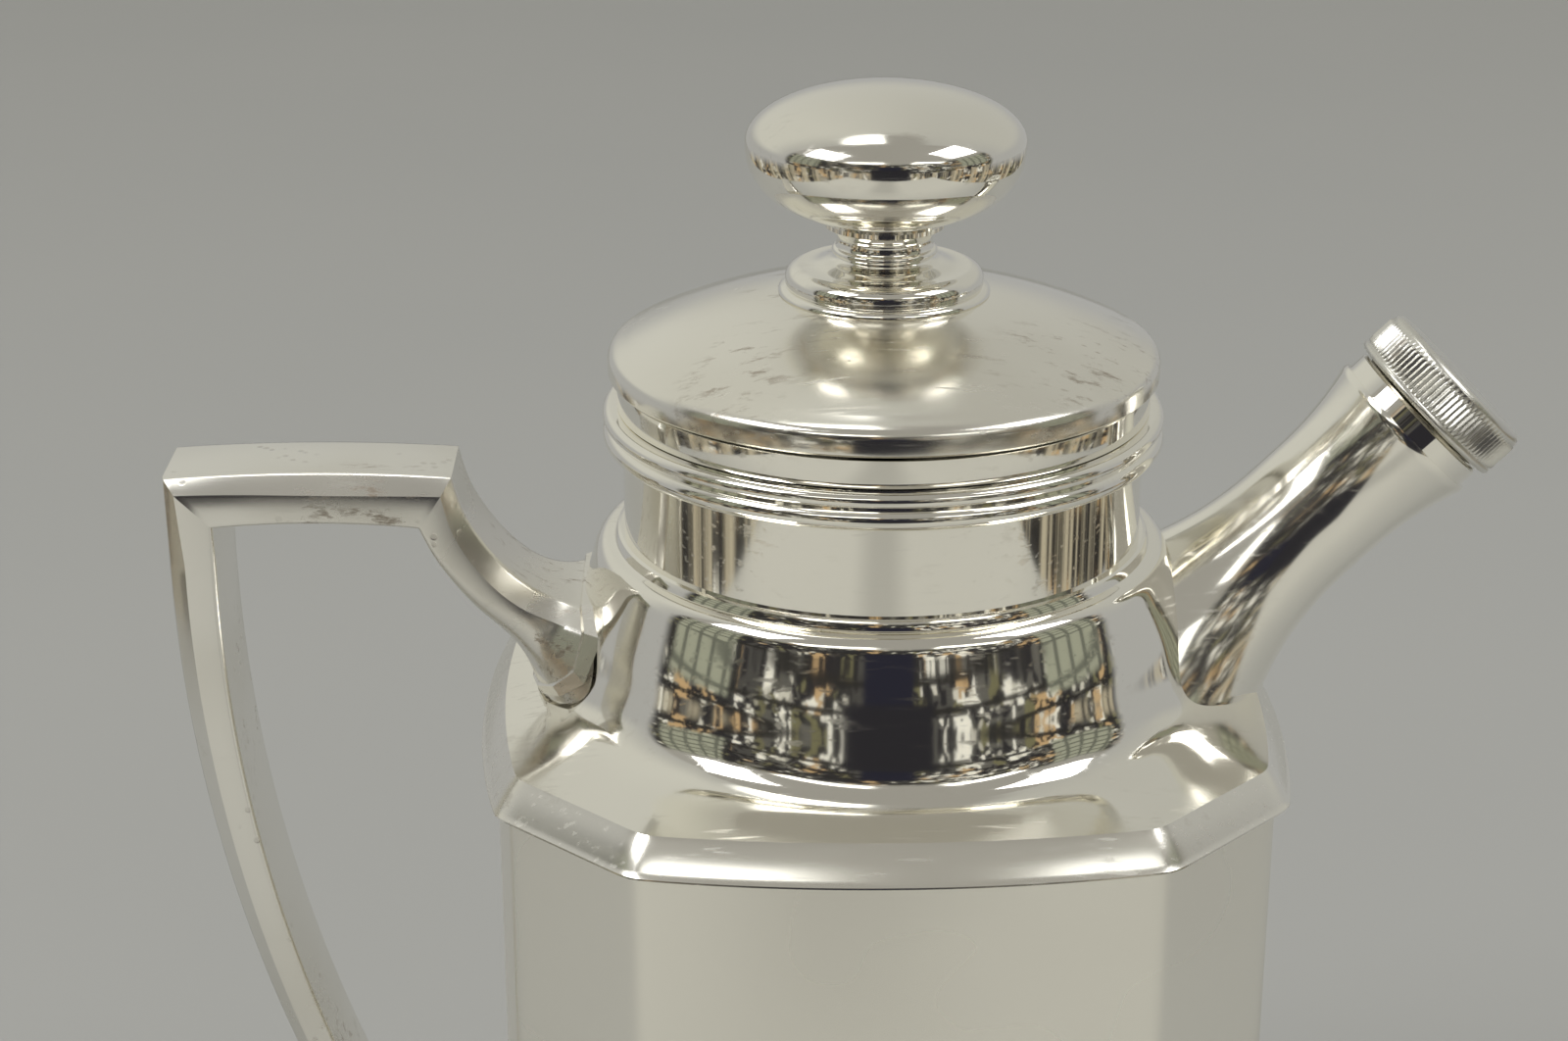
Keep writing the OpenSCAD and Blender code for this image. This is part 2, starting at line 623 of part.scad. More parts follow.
// The lower root turns the end of the grip in to the body's wall
wall_x = -(body_half + side_bow);
grip_end = grip_station(-grip_drop);
root_reach = wall_x - grip_end[0][0];
lower_stations = [
    grip_end,
    [grip_end[0] + [root_reach * 0.2, -9], grip_end[1] + [root_reach * 0.2, -6.5], grip_end[2],
        bar_bevel * 0.8, 1.2],
    [grip_end[0] + [root_reach * 0.47, -17.5], grip_end[1] + [root_reach * 0.4, -10.4], grip_end[2] + 0.6,
        bar_bevel * 0.8, 2.4],
    [grip_end[0] + [root_reach * 0.76, -23], [wall_x - 3.2, grip_end[1][1] - 12.2], grip_end[2] + 2,
        bar_bevel * 0.8, 3.2],
    [[wall_x - 0.05, -grip_drop - 25.5], [wall_x - 0.05, grip_end[1][1] - 12.6], grip_end[2] + 4.5,
        bar_bevel * 0.8, 4]];

lower_solid = concat(lower_stations, [between(lower_stations[3], lower_stations[4], 1.3)]);

module handle_lower_root() {
    color(silver) difference() {
        bar(lower_solid);
        side_round(180, 0, neck_foot_z);
    }
}

module handle_lower_seam() {
    color(silver_grey) difference() {
        intersection() {
            seam([for (i = [3 : 5]) lower_solid[i]]);
            side_round(180, seam_w, neck_foot_z);
        }
        side_round(180, -seam_sunk, neck_foot_z);
    }
}

body_shell();
shoulder();
neck_band();
neck_rim();
base_plate();
foot_plinth();
spout_tube();
spout_strainer();
spout_nozzle();
handle_top_bar();
handle_grip();
handle_upper_root();
handle_upper_seam();
handle_lower_root();
handle_lower_seam();
lid_dome();
lid_band();
lid_sleeve();
knob_collar();
knob_neck();
knob_bowl();
knob_crown();
knob_stud();
knob_washer();
knob_nut();
cap_ring();
cap_disc();
cap_liner();
cap_cork();
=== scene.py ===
"""Looks of the silver-plated pot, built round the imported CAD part. Metres, the part's own frame."""

import math

import bmesh
import bpy
import numpy as np
from mathutils import Matrix, Vector


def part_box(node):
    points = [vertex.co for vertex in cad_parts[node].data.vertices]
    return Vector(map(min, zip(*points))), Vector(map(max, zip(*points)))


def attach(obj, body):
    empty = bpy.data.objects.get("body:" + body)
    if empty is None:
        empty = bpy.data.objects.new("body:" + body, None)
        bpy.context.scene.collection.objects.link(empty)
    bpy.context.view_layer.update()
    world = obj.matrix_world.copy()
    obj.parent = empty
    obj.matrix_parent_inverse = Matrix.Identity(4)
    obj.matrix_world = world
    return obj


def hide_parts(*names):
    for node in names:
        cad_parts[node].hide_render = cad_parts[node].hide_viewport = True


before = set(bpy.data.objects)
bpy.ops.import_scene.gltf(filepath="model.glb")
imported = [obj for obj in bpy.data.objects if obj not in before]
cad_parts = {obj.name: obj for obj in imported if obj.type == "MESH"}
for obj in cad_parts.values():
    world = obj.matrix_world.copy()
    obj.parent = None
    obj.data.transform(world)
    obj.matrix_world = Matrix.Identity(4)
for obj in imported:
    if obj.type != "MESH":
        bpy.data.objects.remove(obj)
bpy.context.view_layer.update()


# Silver plate: a bright skin of silver over brass, rubbed by years of polishing. The groups
# below give its scratches, the lines left by turning, its tarnish and its pits, as masks and
# heights. Each material then builds its own mix of them.
MM = 0.001
SILVER = (0.935, 0.915, 0.845, 1)
DULL_SILVER = (0.73, 0.70, 0.62, 1)
TARNISH = (0.33, 0.27, 0.21, 1)


def group(name, inputs, outputs):
    """An empty shader node group with float or vector sockets."""
    g = bpy.data.node_groups.new(name, "ShaderNodeTree")
    for socket, kind, default in inputs:
        s = g.interface.new_socket(socket, in_out="INPUT", socket_type=kind)
        if default is not None:
            s.default_value = default
    for socket, kind in outputs:
        g.interface.new_socket(socket, in_out="OUTPUT", socket_type=kind)
    return g, g.nodes.new("NodeGroupInput"), g.nodes.new("NodeGroupOutput")


def node(tree, kind, values=(), **settings):
    """A node with its settings and unlinked sockets filled in, sockets given by name or place."""
    n = tree.nodes.new(kind)
    for key, value in settings.items():
        setattr(n, key, value)
    for key, value in dict(values).items():
        n.inputs[key].default_value = value
    return n


def math_node(tree, operation, a, b=0.0, c=0.0, clamp=False):
    """One arithmetic step on two values, each a socket or a number."""
    n = node(tree, "ShaderNodeMath", operation=operation, use_clamp=clamp)
    for i, value in enumerate((a, b, c)):
        if hasattr(value, "is_linked"):
            tree.links.new(value, n.inputs[i])
        else:
            n.inputs[i].default_value = value
    return n.outputs[0]


def band(tree, value, low, high, to_low=0.0, to_high=1.0):
    """Maps a value from low..high to to_low..to_high, smoothly and within limits."""
    n = node(tree, "ShaderNodeMapRange", interpolation_type="SMOOTHSTEP")
    tree.links.new(value, n.inputs["Value"])
    for key, v in (("From Min", low), ("From Max", high), ("To Min", to_low), ("To Max", to_high)):
        n.inputs[key].default_value = v
    return n.outputs["Result"]


def noise(tree, vector, scale, detail=2.0, rough=0.5, distortion=0.0):
    n = node(tree, "ShaderNodeTexNoise", {"Scale": scale, "Detail": detail, "Roughness": rough,
                                          "Distortion": distortion})
    tree.links.new(vector, n.inputs["Vector"])
    return n.outputs["Fac"]


# Fine scratches every way, from cloths and cupboards
scratches, g_in, g_out = group("cloth scratches", [("Vector", "NodeSocketVector", None)],
                               [("Mask", "NodeSocketFloat")])
total = None
for turn, stretch in ((0.4, 14.0), (1.5, 18.0), (2.6, 11.0)):
    spin = node(scratches, "ShaderNodeMapping", {"Rotation": (turn, turn * 1.7, turn * 0.6),
                                                 "Scale": (1.0, stretch, stretch)})
    scratches.links.new(g_in.outputs["Vector"], spin.inputs["Vector"])
    lines = band(scratches, noise(scratches, spin.outputs["Vector"], 60.0, 2.0), 0.62, 0.74)
    total = lines if total is None else math_node(scratches, "MAXIMUM", total, lines)
scratches.links.new(total, g_out.inputs["Mask"])

# Lines round the axis, left by the spinning lathe and the buffing wheel
turning, g_in, g_out = group("turning lines", [("Vector", "NodeSocketVector", None)],
                             [("Height", "NodeSocketFloat")])
xyz = node(turning, "ShaderNodeSeparateXYZ")
turning.links.new(g_in.outputs["Vector"], xyz.inputs[0])
radius = math_node(turning, "POWER", math_node(
    turning, "ADD", math_node(turning, "POWER", xyz.outputs["X"], 2.0),
    math_node(turning, "POWER", xyz.outputs["Y"], 2.0)), 0.5)
bearing = math_node(turning, "ARCTAN2", xyz.outputs["Y"], xyz.outputs["X"])
rings = node(turning, "ShaderNodeCombineXYZ")
turning.links.new(math_node(turning, "MULTIPLY", bearing, 0.012), rings.inputs["X"])
turning.links.new(radius, rings.inputs["Y"])
turning.links.new(xyz.outputs["Z"], rings.inputs["Z"])
turning.links.new(noise(turning, rings.outputs[0], 900.0, 3.0, 0.6), g_out.inputs["Height"])

# Tarnish: cloudy patches with darker specks and wiped streaks in them
tarnish, g_in, g_out = group("tarnish", [("Vector", "NodeSocketVector", None)],
                             [("Cloud", "NodeSocketFloat"), ("Specks", "NodeSocketFloat")])
cloud = noise(tarnish, g_in.outputs["Vector"], 22.0, 2.0, 0.5)
streak = node(tarnish, "ShaderNodeMapping", {"Rotation": (0.3, 0.2, 0.9), "Scale": (1.0, 3.5, 3.0)})
tarnish.links.new(g_in.outputs["Vector"], streak.inputs["Vector"])
speck = band(tarnish, noise(tarnish, streak.outputs["Vector"], 130.0, 5.0, 0.72), 0.54, 0.68)
patch = band(tarnish, noise(tarnish, g_in.outputs["Vector"], 24.0, 2.0), 0.50, 0.66)
tarnish.links.new(cloud, g_out.inputs["Cloud"])
tarnish.links.new(math_node(tarnish, "MULTIPLY", speck, patch), g_out.inputs["Specks"])

# Pits, where the plate has blistered or been knocked
pits, g_in, g_out = group("pits", [("Vector", "NodeSocketVector", None)],
                          [("Mask", "NodeSocketFloat")])
cells = node(pits, "ShaderNodeTexVoronoi", {"Scale": 420.0, "Randomness": 1.0})
pits.links.new(g_in.outputs["Vector"], cells.inputs["Vector"])
small = band(pits, cells.outputs["Distance"], 0.30, 0.16)
where = band(pits, noise(pits, g_in.outputs["Vector"], 70.0, 3.0), 0.56, 0.64)
pits.links.new(math_node(pits, "MULTIPLY", small, where), g_out.inputs["Mask"])


# Roughness that scratches, stains and wear add, how far tarnish dulls the colour and pits darken
# it, and the depth of a scratch in mm
SCRATCH_ROUGH = 0.10
STAIN_ROUGH = 0.25
WORN_ROUGH = 0.13
DULLED = 0.5
PIT_DARK = 6.0
SCRATCH_DEPTH = 0.0006


def silver(name, rough, haze=0.04, stain=0.3, specks=1.0, pitted=0.0, turned=0.0, scratched=1.0,
           tint=SILVER, duller_below=None):
    """Silver plate. rough is its roughness where it is clean, haze what the cloudy patches add,
    stain the share of tarnish, specks that of its dark specks, scratched that of cloth scratches,
    pitted and turned the depth of pits and lathe lines in mm, and duller_below a height under
    which it is less glossy."""
    m = bpy.data.materials.new(name)
    m.use_nodes = True
    t = m.node_tree
    shader = t.nodes["Principled BSDF"]
    shader.inputs["Metallic"].default_value = 1.0
    place = node(t, "ShaderNodeTexCoord").outputs["Object"]

    def use(g):
        n = node(t, "ShaderNodeGroup", node_tree=g)
        t.links.new(place, n.inputs["Vector"])
        return n.outputs

    mark, line, age = use(scratches)["Mask"], use(turning)["Height"], use(tarnish)
    pit = use(pits)["Mask"]
    cloudy = band(t, age["Cloud"], 0.42, 0.68)
    dull = math_node(t, "MULTIPLY", cloudy, stain * DULLED)
    colour = node(t, "ShaderNodeMix", {"A": tint, "B": DULL_SILVER}, data_type="RGBA")
    t.links.new(dull, colour.inputs["Factor"])
    stained = node(t, "ShaderNodeMix", {"B": TARNISH}, data_type="RGBA")
    t.links.new(colour.outputs["Result"], stained.inputs["A"])
    dark = math_node(t, "MAXIMUM", math_node(t, "MULTIPLY", age["Specks"], stain * specks),
                     math_node(t, "MULTIPLY", pit, min(1.0, pitted * PIT_DARK)))
    t.links.new(dark, stained.inputs["Factor"])
    height = math_node(t, "ADD", math_node(t, "MULTIPLY", line, turned),
                       math_node(t, "MULTIPLY", pit, -pitted))
    t.links.new(stained.outputs["Result"], shader.inputs["Base Color"])
    roughness = math_node(t, "ADD", rough, math_node(t, "MULTIPLY", cloudy, haze))
    roughness = math_node(t, "ADD", roughness, math_node(t, "MULTIPLY", mark, SCRATCH_ROUGH * scratched))
    roughness = math_node(t, "ADD", roughness, math_node(t, "MULTIPLY", dark, STAIN_ROUGH), clamp=True)
    if duller_below is not None:
        # A part that hands and cloths reach most has lost some of its gloss
        z = node(t, "ShaderNodeSeparateXYZ")
        t.links.new(place, z.inputs[0])
        worn = band(t, z.outputs["Z"], duller_below + MM, duller_below - MM)
        roughness = math_node(t, "ADD", roughness, math_node(t, "MULTIPLY", worn, WORN_ROUGH))
    t.links.new(roughness, shader.inputs["Roughness"])
    bump = node(t, "ShaderNodeBump", {"Strength": 1.0, "Distance": MM})
    scratch = math_node(t, "MULTIPLY", mark, -SCRATCH_DEPTH * scratched)
    t.links.new(math_node(t, "ADD", height, scratch), bump.inputs["Height"])
    t.links.new(bump.outputs["Normal"], shader.inputs["Normal"])
    return m


NECK_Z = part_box("neck_band")[0].z
WORN_BELOW = NECK_Z - 27.6 * MM
mirror = silver("silver_mirror", 0.05, haze=0.04, stain=0.2, turned=0.0006, duller_below=WORN_BELOW)
bright = silver("silver_bright", 0.045, haze=0.04, stain=0.12, turned=0.0005)
lid_top = silver("silver_lid", 0.11, haze=0.09, stain=0.8, turned=0.0010)
crowned = silver("silver_crown", 0.055, haze=0.05, stain=0.45, turned=0.0008)
spouted = silver("silver_spout", 0.11, haze=0.06, stain=0.35)
satin = silver("silver_satin", 0.25, haze=0.04, stain=0.08, scratched=0.0, specks=0.0)
handled = silver("silver_handled", 0.18, haze=0.10, stain=0.85, pitted=0.03, scratched=0.3,
                 tint=(0.86, 0.845, 0.80, 1))
inner = silver("silver_inner", 0.22, haze=0.12, stain=0.9, turned=0.002, tint=DULL_SILVER)


# The eight-sided shoulder, spun from one sheet: a deep round dome that runs out into a brim
# with the body's outline, and turns in under it. DOME is its profile as [radius, height] in mm, and
# FLARE the shares of the way from there out and down to the brim's crease.
SHEET = 1.2 * MM
NECK_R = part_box("neck_band")[1].x
BRIM_DROP = NECK_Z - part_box("shoulder")[0].z
BRIM_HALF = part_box("shoulder")[1].x
CORNER_LEG = 19.9 * MM
BOW = 4.1 * MM
BRIM_OUT = 2.4 * MM
WALL_HALF = BRIM_HALF - BRIM_OUT - BOW
LIP_W = 4.0 * MM
DOME = [(44.6, -1.7), (45.44, -1.92), (46.16, -2.55), (46.7, -3.5), (47.15, -4.8), (48.5, -9.2),
        (49.7, -14.0), (51.0, -20.4)]
FLARE = [(0.055, 0.286), (0.164, 0.557), (0.345, 0.743), (0.60, 0.871)]
CREASE_DROP = BRIM_DROP - 5.8 * MM
RIM_SHARP = 140
WALL_SHARP = 2000


def curve_through(points, count):
    """So many points, evenly spaced, on a smooth curve through the given ones."""
    p = np.array(points, float)
    t = np.concatenate([[0], np.cumsum(np.linalg.norm(np.diff(p, axis=0), axis=1))])
    n = len(p)
    h = np.diff(t)
    a = np.eye(n)
    b = np.zeros_like(p)
    for i in range(1, n - 1):
        a[i, i - 1:i + 2] = h[i - 1], 2 * (h[i - 1] + h[i]), h[i]
        b[i] = 6 * ((p[i + 1] - p[i]) / h[i] - (p[i] - p[i - 1]) / h[i - 1])
    bend = np.linalg.solve(a, b)
    out = []
    for u in np.linspace(0, t[-1], count):
        i = min(max(np.searchsorted(t, u) - 1, 0), n - 2)
        left, right = (t[i + 1] - u) / h[i], (u - t[i]) / h[i]
        out.append(left * p[i] + right * p[i + 1] + h[i] ** 2 / 6
                   * ((left ** 3 - left) * bend[i] + (right ** 3 - right) * bend[i + 1]))
    return [tuple(q) for q in out]


def inset(points, t):
    """A profile moved t to its right as it is walked."""
    p = np.array(points, float)
    along = np.gradient(p, axis=0)
    along /= np.linalg.norm(along, axis=1)[:, None]
    return [tuple(q) for q in p + t * np.stack([along[:, 1], -along[:, 0]], axis=1)]


def from_rings(name, rings, closed_section=True, sharp=32):
    """A smooth-shaded mesh from rings of equal length. Each ring closes on itself, and so does
    the row of rings, unless closed_section is False, when the two end rings are capped."""
    n, m = len(rings), len(rings[0])
    faces = [(i * m + j, i * m + (j + 1) % m, ((i + 1) % n) * m + (j + 1) % m, ((i + 1) % n) * m + j)
             for i in range(n if closed_section else n - 1) for j in range(m)]
    if not closed_section:
        faces += [tuple(range(m - 1, -1, -1)), tuple((n - 1) * m + j for j in range(m))]
    mesh = bpy.data.meshes.new(name)
    mesh.from_pydata([tuple(v) for ring in rings for v in ring], [], faces)
    mesh.validate()
    whole = bmesh.new()
    whole.from_mesh(mesh)
    bmesh.ops.recalc_face_normals(whole, faces=whole.faces)
    whole.to_mesh(mesh)
    whole.free()
    mesh.shade_smooth()
    mesh.set_sharp_from_angle(angle=math.radians(sharp))
    o = bpy.data.objects.new(name, mesh)
    bpy.context.scene.collection.objects.link(o)
    return o


def dress(o, material, body, *nodes, slot="silver_plate"):
    """Gives a piece its material and its body, and the CAD nodes that it stands for."""
    o.data.materials.append(material)
    if nodes:
        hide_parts(*nodes)
    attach(o, body)
    return o


def outline_r(phi, grow, sharp):
    """Distance from the axis to the eight-sided outline at angle phi, its sides bowed."""
    a = abs((phi + math.pi / 4) % (math.pi / 2) - math.pi / 4)
    chord = WALL_HALF - CORNER_LEG
    bow_r = (chord ** 2 + BOW ** 2) / (2 * BOW)
    centre = WALL_HALF + BOW - bow_r
    side = centre * math.cos(a) + math.sqrt((bow_r + grow) ** 2 - (centre * math.sin(a)) ** 2)
    face = (2 * WALL_HALF - CORNER_LEG) / math.sqrt(2) + grow
    corner = face / math.cos(math.pi / 4 - a)
    near, far = min(side, corner), max(side, corner)
    return near * (1 + (near / far) ** sharp) ** (-1 / sharp)


def down_to(crease):
    """The dome and its flare, down to a crease at that distance from the axis."""
    dome = [(r * MM, z * MM) for r, z in DOME]
    foot_r, foot_z = dome[-1]
    flare = [(foot_r + (crease - foot_r) * u, foot_z - (CREASE_DROP + foot_z) * v) for u, v in FLARE]
    return dome + flare + [(crease, -CREASE_DROP)]


def shoulder_section(phi):
    """The shoulder's closed section at angle phi, as [radius, height]."""
    rim = outline_r(phi, BRIM_OUT, RIM_SHARP)
    crease = rim - LIP_W
    face = curve_through(down_to(crease), 80)
    edge = curve_through([(crease, -CREASE_DROP), (rim - 2.0 * MM, -CREASE_DROP - 2.62 * MM),
                          (rim - 0.5 * MM, -BRIM_DROP + 0.85 * MM)], 14)
    edge += [(rim - 0.08 * MM, -BRIM_DROP + 0.4 * MM), (rim, -BRIM_DROP + 0.15 * MM)]
    top = [(NECK_R - SHEET, 0), (NECK_R + 0.6 * MM, 0), (43.1 * MM, -0.25 * MM), (43.4 * MM, -0.8 * MM),
           (43.6 * MM, -1.5 * MM), (44.1 * MM, -1.62 * MM)]
    outer = face + edge[1:]
    back = inset(outer, SHEET)[:-3]
    wall = outline_r(phi, 0.1 * MM, WALL_SHARP)
    under = [(rim - 0.2 * MM, -BRIM_DROP), (wall, -BRIM_DROP), (wall, SHEET - BRIM_DROP),
             (rim - 1.5 * SHEET, SHEET - BRIM_DROP)]
    ledge = -1.5 * MM - SHEET
    return top + outer + under + back[::-1] + [(NECK_R, ledge), (NECK_R - SHEET, ledge)]


TURNS = 480
rings = []
for k in range(TURNS):
    phi = -2 * math.pi * k / TURNS
    rings.append([(r * math.cos(phi), r * math.sin(phi), NECK_Z + z) for r, z in shoulder_section(phi)])
dress(from_rings("shoulder_skin", rings, sharp=24), mirror, "pot", "shoulder")


# The neck's band and its reeded rim, spun and cast, soldered on the shoulder. The band is the
# brightest mirror on the pot.
def turned(name, profile, around=192, place=Matrix.Identity(4), sharp=32):
    """A lathe-turned piece from a closed profile of [radius, height]."""
    rows = []
    for k in range(around):
        a = -2 * math.pi * k / around
        rows.append([place @ Vector((r * math.cos(a), r * math.sin(a), z)) for r, z in profile])
    return from_rings(name, rows, sharp=sharp)


def arc(cx, cz, r, start, end, steps=8):
    """Points on an arc, angles in degrees, counted from +r towards +z."""
    return [(cx + r * math.cos(math.radians(start + (end - start) * i / steps)),
             cz + r * math.sin(math.radians(start + (end - start) * i / steps))) for i in range(steps + 1)]


BORE_R = NECK_R - 1.4 * MM
RIM_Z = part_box("neck_rim")[0].z
MOUTH_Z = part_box("lid_band")[0].z
dress(turned("neck_wall", [(BORE_R, NECK_Z), (NECK_R, NECK_Z), (NECK_R, RIM_Z), (BORE_R, RIM_Z)][::-1]),
      bright, "pot", "neck_band")

REED_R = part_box("neck_rim")[1].x
LOWER_REED, UPPER_REED = 1.75 * MM, 1.3 * MM
low_z, high_z = RIM_Z + LOWER_REED + 0.05 * MM, MOUTH_Z - UPPER_REED
rim_profile = ([(BORE_R, RIM_Z), (NECK_R + 0.6 * MM, RIM_Z)]
               + arc(REED_R - LOWER_REED, low_z, LOWER_REED, -75, 58, 12)
               + arc(REED_R - UPPER_REED, high_z, UPPER_REED, -50, 90, 12)
               + [(NECK_R - 0.2 * MM, MOUTH_Z), (BORE_R + 0.4 * MM, MOUTH_Z), (BORE_R, MOUTH_Z - 0.4 * MM)])
dress(turned("neck_reeds", rim_profile[::-1]), bright, "pot", "neck_rim")


# The body: eight pressed panels raised from one sheet, four broad and bowed, four narrow
# corners, over a flat bottom and a stepped plinth.
FOOT_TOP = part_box("body_shell")[0].z
SHELL_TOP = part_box("body_shell")[1].z


def prism_rings(levels, sharp=260, around=480):
    """Rings for an upright eight-sided wall: levels are [growth, height]."""
    rows = []
    for k in range(around):
        phi = -2 * math.pi * (k + 0.5) / around
        section = []
        for grow, z in levels:
            r = outline_r(phi, grow, sharp)
            section.append((r * math.cos(phi), r * math.sin(phi), z))
        rows.append(section)
    return rows


panels = [(0, FOOT_TOP), (0, SHELL_TOP), (-SHEET, SHELL_TOP), (-SHEET, FOOT_TOP)]
wall = from_rings("body_panels", prism_rings(panels), sharp=40)
dress(wall, satin, "pot", "body_shell", slot="silver_satin")

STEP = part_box("foot_plinth")[1].x - BRIM_HALF + BRIM_OUT
PLINTH_Z = 5 * MM
plinth = [(STEP - 0.6 * MM, 0), (STEP, 0.6 * MM), (STEP, PLINTH_Z - 1.2 * MM),
          (STEP - 0.5 * MM, PLINTH_Z - 0.4 * MM), (STEP / 2 + 0.4 * MM, PLINTH_Z),
          (STEP / 2, PLINTH_Z + 0.5 * MM), (STEP / 2, FOOT_TOP - 1.6 * MM),
          (STEP / 2 - 0.8 * MM, FOOT_TOP - 0.4 * MM), (0.2 * MM, FOOT_TOP)]
levels = [list(ring) for ring in zip(*prism_rings(plinth))]
dress(from_rings("plinth", levels, False, sharp=24), satin, "pot", "foot_plinth", slot="silver_satin")
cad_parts["base_plate"].data.materials.clear()
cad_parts["base_plate"].data.materials.append(satin)


# The lid: a recessed band that stands on the mouth, a shallow dome with a rolled edge over it,
# and a sleeve that slides down inside the neck.
LID_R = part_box("lid_dome")[1].x
LID_EDGE_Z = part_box("lid_dome")[0].z
BAND_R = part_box("lid_band")[1].x
DOME_R = 98 * MM
edge_top = LID_EDGE_Z + 4.6 * MM
edge_r = LID_R - 1.6 * MM
dome_centre = edge_top - math.sqrt(DOME_R ** 2 - edge_r ** 2)
sleeve_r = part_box("lid_sleeve")[1].x


def dome_z(r, r_sphere=DOME_R):
    return dome_centre + math.sqrt(r_sphere ** 2 - r ** 2)


HOLE_R = 2.6 * MM
over = [(r, dome_z(r)) for r in np.linspace(HOLE_R, edge_r - 2 * MM, 60)]
roll = curve_through([over[-1], (edge_r - 0.4 * MM, dome_z(edge_r - 0.4 * MM) - 0.05 * MM),
                      (LID_R - 0.45 * MM, LID_EDGE_Z + 3.7 * MM), (LID_R, LID_EDGE_Z + 2.6 * MM)], 16)
below = [(r, dome_z(r, DOME_R - SHEET)) for r in np.linspace(edge_r - 3 * MM, HOLE_R, 30)]
lid_profile = (over + roll[1:] + [(LID_R, LID_EDGE_Z + 0.35 * MM), (LID_R - 0.3 * MM, LID_EDGE_Z),
                                  (BAND_R + 0.05 * MM, LID_EDGE_Z), (BAND_R - 0.6 * MM, LID_EDGE_Z + MM),
                                  (BAND_R - 0.8 * MM, LID_EDGE_Z + 2.4 * MM)] + below)
dress(turned("lid_top", lid_profile, 256), lid_top, "lid", "lid_dome")

band_profile = [(sleeve_r, MOUTH_Z), (BAND_R - 0.5 * MM, MOUTH_Z), (BAND_R - 0.12 * MM, MOUTH_Z + 0.15 * MM),
                (BAND_R, MOUTH_Z + 0.6 * MM), (BAND_R, LID_EDGE_Z - 0.9 * MM),
                (BAND_R - 0.5 * MM, LID_EDGE_Z - 0.5 * MM), (BAND_R - 0.5 * MM, LID_EDGE_Z),
                (BAND_R - SHEET, LID_EDGE_Z), (BAND_R - SHEET, MOUTH_Z + SHEET), (sleeve_r, MOUTH_Z + SHEET)]
dress(turned("lid_wall", band_profile[::-1]), bright, "lid", "lid_band")


# The knob: a collar that fits the dome, a turned neck with a small bead and a step, and two
# spun halves that meet in a fine line at the knob's widest.
COLLAR_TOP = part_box("knob_collar")[1].z
COLLAR_FOOT_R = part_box("knob_collar")[1].x
COLLAR_R = COLLAR_FOOT_R - 1.3 * MM
NECK_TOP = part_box("knob_bowl")[0].z
THROAT_R = 7.7 * MM
KNOB_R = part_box("knob_bowl")[1].x
KNOB_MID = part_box("knob_crown")[0].z
KNOB_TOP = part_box("knob_crown")[1].z
STEP_R = THROAT_R + 2 * MM
rest = dome_z(COLLAR_FOOT_R)
seat = [(r, dome_z(r)) for r in np.linspace(HOLE_R, COLLAR_FOOT_R - 0.2 * MM, 12)]
flange = [(COLLAR_FOOT_R, rest + 0.2 * MM), (COLLAR_FOOT_R - 0.1 * MM, rest + 0.6 * MM),
          (COLLAR_FOOT_R - 0.5 * MM, rest + MM), (COLLAR_R, rest + 1.15 * MM)]
roll = curve_through([(COLLAR_R + 0.15 * MM, rest + 1.5 * MM), (COLLAR_R + 0.1 * MM, rest + 2.9 * MM),
                      (COLLAR_R - 0.6 * MM, rest + 3.9 * MM), (COLLAR_R - 1.8 * MM, rest + 4.4 * MM)], 16)
hollow = curve_through([(COLLAR_R - 1.8 * MM, rest + 4.4 * MM), (COLLAR_R - 4.4 * MM, rest + 4.55 * MM),
                        (THROAT_R + 1.6 * MM, rest + 5.1 * MM),
                        (THROAT_R + 0.2 * MM, COLLAR_TOP - 0.3 * MM), (THROAT_R, COLLAR_TOP)], 24)
collar = seat + flange + roll + hollow[1:] + [(HOLE_R, COLLAR_TOP)]
dress(turned("knob_foot", collar[::-1], 128, sharp=40), bright, "lid", "knob_collar")

bead_z = COLLAR_TOP + 0.9 * MM
throat = ([(HOLE_R, COLLAR_TOP), (THROAT_R, COLLAR_TOP), (THROAT_R, bead_z - 0.65 * MM)]
          + arc(THROAT_R, bead_z, 0.68 * MM, -80, 80, 8)
          + curve_through([(THROAT_R, bead_z + 0.7 * MM), (THROAT_R - 0.05 * MM, bead_z + 2.2 * MM),
                           (THROAT_R + 0.6 * MM, NECK_TOP - 1.1 * MM)], 14)[1:]
          + [(STEP_R - 0.5 * MM, NECK_TOP - MM), (STEP_R - 0.15 * MM, NECK_TOP - 0.75 * MM),
             (STEP_R - 0.15 * MM, NECK_TOP), (HOLE_R, NECK_TOP)])
dress(turned("knob_throat", throat[::-1], 128, sharp=40), bright, "lid", "knob_neck")

drop = KNOB_MID - NECK_TOP - 0.6 * MM
FULL = 2.4
half_axis = drop / (1 - (STEP_R / KNOB_R) ** FULL) ** (1 / FULL)


def bowl_at(depth, r, axis):
    """Radius of the bowl at a depth below the knob's widest, a little fuller than an ellipse."""
    return r * (1 - (depth / axis) ** FULL) ** (1 / FULL)


